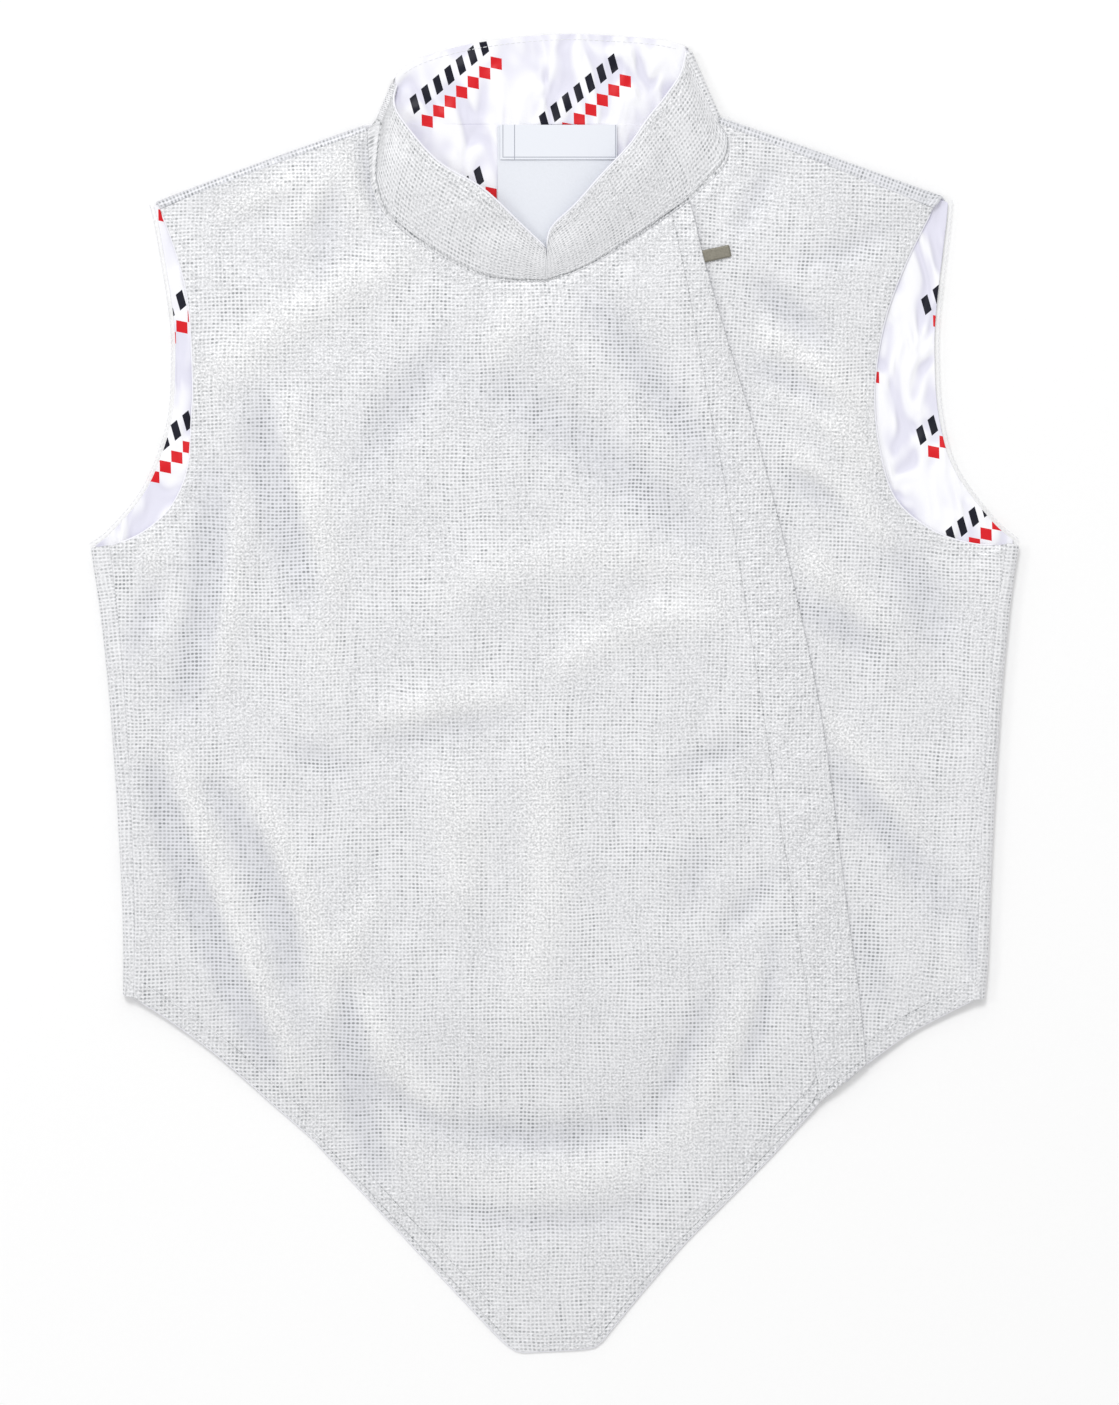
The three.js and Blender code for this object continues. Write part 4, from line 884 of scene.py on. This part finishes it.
def rolled(line, height, wall, lap, side, puckers=0.0):
    """Outer and inner grids of an edge rolled over a line: half circles in the plane across the line,
    and a flat lap on top that reaches as far as the seam. Rows run along the line."""
    run = np.gradient(line, axis=0)
    run /= np.linalg.norm(run, axis=1)[:, None]
    inward = np.stack([-run[:, 1], run[:, 0]], axis=1) * side
    angle = np.linspace(0, math.pi, ROLL_STEPS + 1)
    reach = np.linspace(lap[0], lap[1], len(line))[:, None]
    wave = puckers * rumple(line, 5, 14, 1.0)[:, None]

    def surface(radius):
        middle = height / 2
        across = np.broadcast_to(middle - radius * np.sin(angle), (len(line), ROLL_STEPS + 1))
        up = np.broadcast_to(middle - radius * np.cos(angle), across.shape)
        flat = middle + (reach - middle) * np.array([0.25, 0.5, 0.8, 1.0])
        across = np.hstack([across, flat])
        up = np.hstack([up, np.broadcast_to(middle + radius, flat.shape) + wave * np.linspace(0.4, 1, 4)])
        return np.concatenate([line[:, None] + inward[:, None] * across[..., None], up[..., None]], axis=-1)

    return surface(height / 2), surface(height / 2 - wall)


def run_uv(grid):
    """uv of a strip in mm: how far across it, and how far along its middle column."""
    across = np.linalg.norm(np.diff(grid, axis=1), axis=-1)
    along_it = np.linalg.norm(np.diff(grid[:, grid.shape[1] // 2], axis=0), axis=-1)
    u = np.concatenate([np.zeros((len(grid), 1)), np.cumsum(across, axis=1)], axis=1)
    v = np.concatenate([[0], np.cumsum(along_it)])
    return np.stack([u, np.broadcast_to(v[:, None], u.shape)], axis=-1)


def back_edges(side_inset, shoulder_inset, hem_y, neck_steps=40):
    """The four edges of the flat back: hem, shoulders with the neck, and the two sides with armholes."""
    left = chain(aside(side_left, -side_inset), armhole_back_left)
    right = chain(aside(side_right, side_inset), armhole_back_right)
    shoulder_a, shoulder_b = aside(shoulder_left, -shoulder_inset), aside(shoulder_right, shoulder_inset)
    neck = np.stack([np.linspace(shoulder_a[-1, 0], shoulder_b[-1, 0], neck_steps + 1),
                     np.full(neck_steps + 1, BACK_NECK_Y)], axis=1)
    shoulder_a[-1, 1] = shoulder_b[-1, 1] = BACK_NECK_Y
    top = chain(shoulder_a, neck, shoulder_b[::-1])
    left[:, 1], right[:, 1] = np.maximum(left[:, 1], hem_y), np.maximum(right[:, 1], hem_y)
    left[-1], right[-1] = top[0], top[-1]
    spread = np.linspace(0, 1, len(top))[:, None]
    left[0, 1] = right[0, 1] = hem_y
    return left[0] * (1 - spread) + right[0] * spread, top, left, right


back_plan = patch(*back_edges(SIDE_FOLD_HEIGHT / 2, SHOULDER_FOLD_HEIGHT / 2, BACK_HEM_Y))
back_low, back_high = (raise_grid(back_plan, np.full(back_plan.shape[:2], z)) for z in (0.0, BACK_WALL))
armhole_inset = np.array([ARMHOLE_ROW, 0])
back_marks = seam_marks(back_plan, armhole_back_left + armhole_inset, armhole_back_right - armhole_inset)


def slanted_end(roll, corner, length=14):
    """Slants the first rows of a rolled edge, so that its inner side ends at the corner of the front."""
    share = np.linalg.norm(roll[0] - roll[0, :1], axis=-1) / np.linalg.norm(roll[0, -1] - roll[0, 0])
    fade = np.clip(1 - np.linalg.norm(roll[:, 0] - roll[0, 0], axis=-1) / length, 0, 1)
    slanted = roll.copy()
    slanted[..., :2] += (corner - roll[0, -1, :2]) * (fade[:, None] * share)[..., None]
    return slanted


# The rolled shoulders are marked as a shallow trough, so that the lamé paints its trough shade on them and
# they read as a band a little darker.
SHOULDER_SHADE = -1.2
EDGE_PUCKER = 0.12
folds = []
for line, height, lap, side, corner in (
        (side_left, SIDE_FOLD_HEIGHT, LAPS["side_left"], -1, hem_left[0]),
        (side_right, SIDE_FOLD_HEIGHT, LAPS["side_right"], 1, hem_side[-1]),
        (shoulder_left, SHOULDER_FOLD_HEIGHT, LAPS["shoulder_left"], -1, armhole_front_left[-1]),
        (shoulder_right, SHOULDER_FOLD_HEIGHT, LAPS["shoulder_right"], 1, armhole_front_right[-1])):
    outer, inner = (slanted_end(roll, corner) for roll in rolled(line, height, BACK_WALL, lap, side, EDGE_PUCKER))
    shade = SHOULDER_SHADE if height == SHOULDER_FOLD_HEIGHT else 0.0
    folds.append((outer, inner, run_uv(outer), np.full(outer.shape[:2] + (2,), (NO_SEAM, shade))))
back_cloth = add_cloth("back_cloth", [(back_low, back_high, None, back_marks)] + folds, lame, satin_plain)

# %% Satin lining of the back
# It ends just inside the rolled sides and the hem, but reaches into the rolled shoulders.
lining_plan = patch(*back_edges(SIDE_FOLD_HEIGHT / 2 + 0.6, SHOULDER_FOLD_HEIGHT / 2 - 1.0, BACK_HEM_Y + 3))
# It wrinkles only in the neck: a flat-topped bump about the middle (0, 284), 88 by 34 mm in half size.
in_neck = np.exp(-((lining_plan[..., 0] / 88) ** 6) - ((lining_plan[..., 1] - 284) / 34) ** 6)
wrinkles = rumple(lining_plan * np.array([1.0, 0.35]), 41, 24, 0.5) + rumple(lining_plan, 43, 60, 0.3)
lining_grid = raise_grid(lining_plan, LINING_TOP + in_neck * np.clip(wrinkles + 0.1, -0.35, 1.1))
lining_low = raise_grid(lining_plan, lining_grid[..., 2] - LINING_WALL)
LINING_ROW = 2.5
lining_inset = np.array([LINING_ROW, 0])
lining_marks = seam_marks(lining_plan, armhole_back_left + lining_inset, armhole_back_right - lining_inset)
back_lining_cloth = add_cloth("back_lining_cloth", [(lining_grid, lining_low, None, lining_marks)], satin_print,
                              satin_plain)

# %% [markdown]
# ## The collar
# The standing collar has fallen open. Its back half lies flat with the satin up; at both ends it rolls over
# and comes forward as a band over the neck seam. Band and roll are one grid, so no joint shows at the fold.
# %% Collar
COLLAR_LEFT_RISE = np.array([(0, 3.6, 6), (0.3, 3.6, 10), (0.7, 3.8, 9.5), (0.9, 4.2, 6.5), (1, 3.8, 3.8)])
COLLAR_RIGHT_RISE = np.array([(0, 3.6, 6), (0.3, 4.0, 11), (0.55, 5.2, 11), (0.8, 4.6, 8.5), (1, 3.8, 3.8)])
COLLAR_ROWS = 22
collar_roll_left = edge("collar_roll_left", COLLAR_ROWS)
collar_roll_right = edge("collar_roll_right", COLLAR_ROWS)
roll_inset = LAPS["collar"][0] + SEAM_GAP


def smooth_rise(rise, column, u, spread=0.07):
    """Height table along the band, read through a moving average so that no table row shows as a kink."""
    fine = np.linspace(-0.4, 1.4, 721)
    table = np.interp(fine, rise[:, 0], rise[:, column])
    kernel = np.exp(-((np.arange(-80, 81) * 0.0025 / spread) ** 2))
    return np.interp(u, fine, np.convolve(table, kernel / kernel.sum(), mode="same"))


def collar_band(seam, top_marks, roll, rise, side, tail, seed):
    """Band from the neck seam up to the free edge, then half a circle round the roll and under. The last
    steps of the seam run up beside the roll, so they belong to the band's side edge."""
    inner_roll = aside(roll, side * roll_inset)
    bottom = seam[:len(seam) - tail]
    side_edge = np.vstack([seam[len(seam) - 1 - tail:], inner_roll])
    top = along(list(EDGES[top_marks][:-1]) + [tuple(inner_roll[-1])], len(bottom) - 1)
    share = np.linspace(0, 1, len(side_edge))[:, None]
    notch = bottom[:1] + (top[:1] - bottom[:1]) * share
    plan = patch(bottom, top, notch, side_edge)
    u = np.linspace(0, 1, len(bottom))[None]
    low, high = (smooth_rise(rise, k, u) for k in (1, 2))
    bulge = 1.4 * np.sin(math.pi * share) * (1 - u**6)
    ripple = rumple(plan, seed, 26, 0.3) * np.sin(math.pi * share) * (1 - u**8)
    level = low + (high - low) * share + bulge + ripple
    level += (COLLAR_FOLD_HEIGHT - COLLAR_WALL - level) * smoothstep(u, 0.9, 1)
    band = raise_grid(plan, level + COLLAR_WALL)
    outer, _ = rolled(roll, COLLAR_FOLD_HEIGHT, COLLAR_WALL, (roll_inset, roll_inset), side)
    around = outer[:, ::-1][:, 1:]
    curl = np.sin(np.linspace(0, math.pi, around.shape[1]))[:, None]
    fall = np.linspace(COLLAR_FOLD_HEIGHT, BACK_WALL, around.shape[1])[:, None]
    beside = []
    for row in range(tail + 1):
        spot = side_edge[row]
        outward = roll[0] - spot if row == tail else aside(seam, -side * 0.8)[len(seam) - 1 - tail + row] - spot
        beside.append(np.hstack([spot + outward * 0.8 * curl, fall - COLLAR_FOLD_HEIGHT + band[row, -1, 2]]))
    return np.concatenate([band, np.concatenate([np.stack(beside), around])], axis=1)


# Rows that hold the collar's facing, as the two ends of each on the left band.
COLLAR_ROWS_OF_STITCHES = [((28.6, 283.8), (42, 267)), ((47, 292.7), (72.2, 273.1)), ((67.8, 330.8), (90.7, 309))]
collar_seam_left = aside(neck_left, -SEAM_GAP)
collar_seam_right = aside(chain(neck_right, neck_flap, neck_side), SEAM_GAP)
collars = {}
for name, node, seam, marks_name, roll, rise, side, tail in (
        ("collar_right_cloth", "collar_front_right", collar_seam_left, "collar_top_left", collar_roll_left,
         COLLAR_LEFT_RISE, -1, 0),
        ("collar_left_cloth", "collar_front_left", collar_seam_right, "collar_top_right", collar_roll_right,
         COLLAR_RIGHT_RISE, 1, 5)):
    band = collar_band(seam, marks_name, roll, rise, side, tail, 51 + side)
    plan = band[..., :2]
    held = [np.array(row) for row in COLLAR_ROWS_OF_STITCHES] if side > 0 else []
    edge_marks = np.minimum(0.3 + distance_to(plan[1], plan), FAINT + seam_marks(plan, plan[-3], *held))
    collars[name] = (add_cloth(name, [(band, hung_below(band, COLLAR_WALL), run_uv(band), edge_marks)], lame,
                               satin_plain), band, node)

collar_top_back = edge("collar_top_back", 60)


def collar_flat(inset, z):
    """The flat back half of the collar between its two rolls, from the neck to its free edge."""
    left, right = aside(collar_roll_left, -inset), aside(collar_roll_right, inset)
    count = len(collar_top_back)
    bottom = np.stack([np.linspace(left[0, 0], right[0, 0], count), np.full(count, BACK_NECK_Y + SEAM_GAP)], axis=1)
    left[0], right[0] = bottom[0], bottom[-1]
    top = collar_top_back.copy()
    top[0], top[-1] = left[-1], right[-1]
    plan = patch(bottom, top, left, right)
    return raise_grid(plan, np.full(plan.shape[:2], z))


collar_low = collar_flat(COLLAR_FOLD_HEIGHT / 2, 0.0)
collar_back_cloth = add_cloth("collar_back_cloth", [(collar_low, collar_low + np.array([0, 0, COLLAR_WALL]), None,
                                                    None)], lame, satin_plain)
collar_lining_grid = collar_flat(COLLAR_FOLD_HEIGHT / 2 + 0.8, LINING_TOP)
collar_lining_plan = collar_lining_grid[..., :2]
collar_lining_grid[..., 2] += 0.25 * rumple(collar_lining_plan * np.array([0.35, 1.0]), 61, 14, 1.0)
collar_lining_marks = seam_marks(collar_lining_plan, collar_lining_plan[-2], collar_lining_plan[1])
collar_lining_cloth = add_cloth("collar_lining_cloth", [(
    collar_lining_grid, collar_lining_grid - np.array([0, 0, LINING_WALL]), None, collar_lining_marks)],
    satin_print, satin_plain)

# %% [markdown]
# ## Labels, zip and pull
# Two bare woven labels hang inside the neck. The zip hides under the flap, so its tape and its slider stay
# as they are in the part, and only the pull tab, which shows, is made again with a bevel.
# %% Labels
def label_grid(left, right, bottom, top, z, curl, seed):
    """A flat rectangle of cloth with a faint wave, lifting a little at its free lower edge."""
    x, y = np.meshgrid(np.linspace(left, right, 90), np.linspace(bottom, top, 90))
    plan = np.stack([x, y], axis=-1)
    lift = curl * (1 - (y - bottom) / (top - bottom)) ** 2 + rumple(plan, seed, 40, 0.08)
    return raise_grid(plan, z + np.maximum(lift, -0.05))


LABEL_WALL = 0.4
care_grid = label_grid(-32, 34, 238, 318, LINING_TOP + SEAM_GAP + LABEL_WALL + 0.6, 0.2, 71)
neck_grid = label_grid(-30.6, 34.6, 298.8, 318, LINING_TOP + 2 * SEAM_GAP + 2 * LABEL_WALL + 0.7, 0.3, 72)
care_label_cloth = add_cloth("care_label_cloth", [(care_grid, hung_below(care_grid, LABEL_WALL), None, None)],
                             label_cloth, label_cloth)
neck_label_cloth = add_cloth("neck_label_cloth", [(neck_grid, hung_below(neck_grid, LABEL_WALL), None, None)],
                             framed_label, label_cloth)

# %% Pull tab
PULL_ANGLE = math.radians(12.1)
PULL_LENGTH, PULL_HALF, PULL_LOW, PULL_HIGH, EYE_RADIUS = 23.7, 3.4, 7.6, 8.6, 1.7


def pull_outline(inset, count=160):
    """The tab's outline: a round eye end, straight sides and a far end with small round corners."""
    half, far, corner = PULL_HALF - inset, PULL_LENGTH - inset, 0.9 - inset * 0.5
    start = [(half * math.cos(a), half * math.sin(a)) for a in np.linspace(math.pi * 1.5, math.pi * 0.5, 40)]
    ends = [(far - corner + corner * math.cos(a), half - corner + corner * math.sin(a))
            for a in np.linspace(math.pi / 2, 0, 10)]
    points = np.array(start + ends + [(x, -y) for x, y in reversed(ends)] + start[:1])
    return resample(points, count)[:-1]


def pull_ring(outline, z):
    return raise_grid(turned(outline, PULL_ANGLE) + PIVOT, np.full(len(outline), z))


outline = pull_outline(0)
aim = outline / np.linalg.norm(outline, axis=1)[:, None]
rings = [pull_ring(aim * EYE_RADIUS, PULL_LOW + 0.2), pull_ring(aim * EYE_RADIUS, PULL_HIGH - 0.2),
         pull_ring(aim * (EYE_RADIUS + 0.2), PULL_HIGH), pull_ring(pull_outline(0.8), PULL_HIGH),
         pull_ring(pull_outline(0.25), PULL_HIGH - 0.25), pull_ring(outline, PULL_HIGH - 0.5),
         pull_ring(outline, PULL_LOW + 0.25), pull_ring(pull_outline(0.25), PULL_LOW),
         pull_ring(aim * (EYE_RADIUS + 0.2), PULL_LOW)]
tab_points = np.vstack(rings)
ring_count, ring_size = len(rings), len(outline)
ids = np.arange(ring_count * ring_size).reshape(ring_count, ring_size)
tab_faces = np.stack([ids, np.roll(ids, -1, axis=1), np.roll(np.roll(ids, -1, axis=1), -1, axis=0),
                      np.roll(ids, -1, axis=0)], axis=-1).reshape(-1, 4)
if signed_volume(tab_points, tab_faces) < 0:
    tab_faces = tab_faces[:, ::-1]
pull_tab_metal = add_mesh("pull_tab_metal", tab_points, tab_faces, [zip_metal], smooth=False)

# %% [markdown]
# ## Stitches and edges
# Every seam here is a row of lockstitches about 2.3 mm long. One stitch is a small capsule of a few dozen
# faces, laid along its line at the height of the cloth and sunk halfway into it. Turned edges are fine tubes.
# %% Stitches
STITCH, STITCH_GAP, STITCH_RADIUS, STITCH_SIDES = 2.3, 0.8, 0.24, 6


def stitch_spots(line):
    """Middles and directions of stitches at an even pitch along a plan line."""
    length = np.linalg.norm(np.diff(line, axis=0), axis=1).sum()
    points = resample(line, max(int(round(length / (STITCH + STITCH_GAP))), 2) * 2)
    heading = points[2::2] - points[:-2:2]
    return points[1::2], heading / np.linalg.norm(heading, axis=1)[:, None]


def stitch_row(line, height):
    """Stitches of one line as (middle, heading) in space, on the cloth whose height function is given."""
    spots, heading = stitch_spots(line)
    ahead, behind = height(spots + heading), height(spots - heading)
    slope = np.concatenate([heading, (ahead - behind)[:, None] / 2], axis=1)
    return (np.concatenate([spots, height(spots)[:, None] + 0.04], axis=1),
            slope / np.linalg.norm(slope, axis=1)[:, None])


def circles(heading, sides):
    """A circle of unit radius across each heading in space, as offsets from its middle."""
    flat = np.cross(heading, [0.0, 0.0, 1.0])
    flat /= np.linalg.norm(flat, axis=1)[:, None]
    third = np.cross(flat, heading)
    turn = np.arange(sides) / sides * math.tau
    return np.cos(turn)[None, :, None] * flat[:, None] + np.sin(turn)[None, :, None] * third[:, None]


def tube_of(rings, sides):
    """Point numbers of a tube, ring by ring, and the faces between its rings."""
    ids = np.arange(rings * sides).reshape(rings, sides)
    quads = np.stack([ids[:-1], np.roll(ids[:-1], -1, axis=1), np.roll(ids[1:], -1, axis=1), ids[1:]], axis=-1)
    return ids, quads.reshape(-1, 4)


def add_stitches(name, rows):
    """All stitches of several rows as one mesh of small closed six-sided capsules, each end two quads."""
    middle = np.vstack([row[0] for row in rows])
    axis = np.vstack([row[1] for row in rows])
    around = circles(axis, STITCH_SIDES)
    profile = [(-0.5, 0.25), (-0.38, 0.85), (0, 1.0), (0.38, 0.85), (0.5, 0.25)]
    points = np.stack([middle[:, None] + axis[:, None] * share * STITCH + STITCH_RADIUS * grow * around
                       for share, grow in profile], axis=1)
    count, ring, _, _ = points.shape
    ids, tube = tube_of(ring, STITCH_SIDES)
    first, last = ids[0], ids[-1]
    caps = np.array([[first[0], first[3], first[2], first[1]], [first[0], first[5], first[4], first[3]],
                     [last[0], last[1], last[2], last[3]], [last[0], last[3], last[4], last[5]]])
    faces = np.vstack([tube, caps])
    if signed_volume(points[0].reshape(-1, 3), faces) < 0:
        faces = faces[:, ::-1]
    shift = (np.arange(count) * ring * STITCH_SIDES)[:, None, None]
    piece = add_mesh(name, points.reshape(-1, 3), (faces[None] + shift).reshape(-1, 4), [thread])
    print(f"{name}: {count} stitches")
    return piece


def level_of(grid):
    """Height function of a grid of points: the height at the nearest grid point."""
    flat = grid.reshape(-1, 3)

    def height(spots):
        near = [np.argmin(((flat[:, :2] - spot) ** 2).sum(axis=1)) for spot in spots]
        return flat[near, 2]

    return height


def rows_along(*table):
    """Rows of stitches from a table: the line, its insets to the left, the stretch of it, and the cloth."""
    return [stitch_row(aside(line, inset)[stretch], height) for line, insets, stretch, height in table
            for inset in insets]


FLAP_ROW, COLLAR_LINING_ROW = 1.6, 2.8
WHOLE = slice(None)
# The last steps of a collar band's rows go round its roll, where no seam shows.
COLLAR_ROLL = -16
lining_level = level_of(lining_grid)
front_stitches = add_stitches("front_stitches", rows_along(
    (main_bottom_edge, HEM_ROWS, WHOLE, main_top), (armhole_front_left, [-ARMHOLE_ROW], WHOLE, main_top),
    (neck_left, NECK_ROWS, slice(4, -4), main_top), (neck_right, -NECK_ROWS, slice(4, None), main_top),
    (stitch_line, [-FLAP_ROW], WHOLE, flap_top), (flap_edge, HEM_ROWS[:1], WHOLE, flap_top),
    (hem_flap, HEM_ROWS, WHOLE, flap_top), (hem_side, HEM_ROWS, WHOLE, side_top),
    (armhole_front_right, [ARMHOLE_ROW], WHOLE, side_top), (neck_side, -NECK_ROWS, WHOLE, side_top)))
lining_stitches = add_stitches("lining_stitches", rows_along(
    (armhole_back_left, [LINING_ROW], WHOLE, lining_level), (armhole_back_right, [-LINING_ROW], WHOLE, lining_level),
    (collar_top_back, [-COLLAR_LINING_ROW], slice(3, -3), level_of(collar_lining_grid))))
collar_stitches = add_stitches("collar_stitches", [
    stitch_row(band[k, 3:COLLAR_ROLL, :2], level_of(band)) for _, band, _ in collars.values() for k in (2, -3)])


# %% Satin edges
def add_edge(name, lines, radius, sides=10):
    """Fine tubes of turned satin along edge lines in space, one closed tube for each line."""
    parts, faces, start = [], [], 0
    for line in lines:
        run = np.gradient(line, axis=0)
        run /= np.linalg.norm(run, axis=1)[:, None]
        grow = np.ones(len(line))
        grow[0] = grow[-1] = 0.3
        ring = line[:, None] + radius * grow[:, None, None] * circles(run, sides)
        ids, quads = tube_of(len(line), sides)
        points = np.vstack([ring.reshape(-1, 3), line[0], line[-1]])
        a, b = len(points) - 2, len(points) - 1
        caps = [(a, ids[0][k], ids[0][k - 1]) for k in range(sides)]
        caps += [(b, ids[-1][k - 1], ids[-1][k]) for k in range(sides)]
        parts.append(points)
        faces += [tuple(int(v) + start for v in face) for face in quads.tolist() + caps]
        start += len(points)
    return add_mesh(name, np.vstack(parts), faces, [cord_edge])


def edge_line(line, height, drop):
    """A plan line raised to a little below the cloth whose height function is given."""
    return raise_grid(line, height(line) - drop)


def collar_rim(band):
    """The line just outside a band's free edge, a little below its upper face."""
    outward = band[-1] - band[-2]
    outward /= np.linalg.norm(outward, axis=1)[:, None]
    return (band[-1] + outward * 0.75 - np.array([0, 0, 0.5]))[:COLLAR_ROLL]


EDGE_RADIUS, HEM_EDGE_RADIUS = 0.55, 0.5
armhole_edges = add_edge("armhole_edges", [
    edge_line(aside(armhole_front_left, 0.5), main_top, 1.1)[2:-1],
    edge_line(aside(armhole_front_right, -0.5), side_top, 1.1)[2:-1]], EDGE_RADIUS)
hem_edges = add_edge("hem_edges", [edge_line(aside(main_bottom_edge, -0.2), main_top, 0.9)[1:],
                                   edge_line(aside(hem_flap, -0.2), flap_top, 0.9),
                                   edge_line(aside(hem_side, -0.2), side_top, 0.9)[:-1]], HEM_EDGE_RADIUS)
collar_edges = add_edge("collar_edges", [collar_rim(band) for _, band, _ in collars.values()], EDGE_RADIUS)

# %% [markdown]
# ## What each piece stands for
# Every cloth replaces its plain solid and rides with it.
# %% Pieces to their bodies
dress(front_right_cloth, "front_panel_right")
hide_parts("zip_flap")
dress(front_left_cloth, "front_panel_left")
dress(back_cloth, "back_panel")
dress(collar_back_cloth, "collar_back")
for piece, _, node in collars.values():
    dress(piece, node)
dress(back_lining_cloth, "back_lining")
dress(collar_lining_cloth, "collar_lining")
dress(care_label_cloth, "care_label")
dress(neck_label_cloth, "neck_label")
dress(pull_tab_metal, "pull_tab", body="pull")
for piece in (front_stitches, collar_stitches, lining_stitches, armhole_edges, collar_edges, hem_edges):
    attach(piece, "vest")
for node, material, slot in (("zip", tape, "zip_tape"), ("zip_slider", zip_metal, "zip_metal")):
    carried = bpy.data.objects[node]
    carried.data.materials.clear()
    carried.data.materials.append(material)

declare_sheet()
declare_sheet()
declare_sheet([front_stitches, armhole_edges, hem_edges])
declare_sheet()
declare_sheet()
declare_sheet([lining_stitches])
for name, trims in (("collar_right_cloth", [collar_stitches, collar_edges]), ("collar_left_cloth", [])):
    piece, band, _ = collars[name]
    declare_sheet(trims)
declare_sheet()
declare_sheet()

# %% [markdown]
# ## Surface, light and camera
# A pale studio surface, one large soft lamp from above the collar, a weaker one from the left, and a bright
# even sky for the fill. The camera looks straight down.
# %% Studio
floor_paper = grained_material("studio_paper", "#fcfcfc", 0.9, scale=300.0, depth=0.01)
FLOOR_HALF, FLOOR_LEVEL = 9000.0, -0.4
floor_points = np.array([(x * FLOOR_HALF, y * FLOOR_HALF, FLOOR_LEVEL)
                         for x, y in ((-1, -1), (1, -1), (1, 1), (-1, 1))])
floor = add_mesh("floor", floor_points, np.array([[0, 1, 2, 3]]), [floor_paper], smooth=False)

SKY_STRENGTH = 0.74
world = bpy.data.worlds.new("studio_light")
bpy.context.scene.world = world
world.use_nodes = True
sky = world.node_tree.nodes["Background"]
sky.inputs["Color"].default_value = hex_colour("#ffffff")
sky.inputs["Strength"].default_value = SKY_STRENGTH


def add_lamp(name, place, size, power):
    """A square area lamp at a place in metres, turned to look at the middle of the vest."""
    lamp = bpy.data.lights.new(name, "AREA")
    lamp.size = size
    lamp.energy = power
    made = bpy.data.objects.new(name, lamp)
    made.location = place
    made.rotation_euler = (-mathutils.Vector(place)).to_track_quat("-Z", "Y").to_euler()
    bpy.context.scene.collection.objects.link(made)


add_lamp("key_lamp", (-0.9, 2.8, 4.4), size=1.3, power=83.0)
add_lamp("side_lamp", (-3.6, 0.6, 3.2), size=1.0, power=18.0)
# The lens is as long as it takes for the sensor to see just the frame's height, in metres, on the table.
SENSOR_HEIGHT = 24.0
CAMERA_HEIGHT = 3.0
FRAME_HEIGHT = 0.7868
lens = bpy.data.cameras.new("overhead")
lens.sensor_fit = "VERTICAL"
lens.sensor_height = SENSOR_HEIGHT
lens.clip_end = 20.0
lens.lens = SENSOR_HEIGHT * CAMERA_HEIGHT / FRAME_HEIGHT
camera = bpy.data.objects.new("overhead", lens)
camera.location = (0.00252, -0.0049, CAMERA_HEIGHT)
bpy.context.scene.collection.objects.link(camera)
bpy.context.scene.camera = camera
bpy.context.scene.view_settings.view_transform = "Standard"
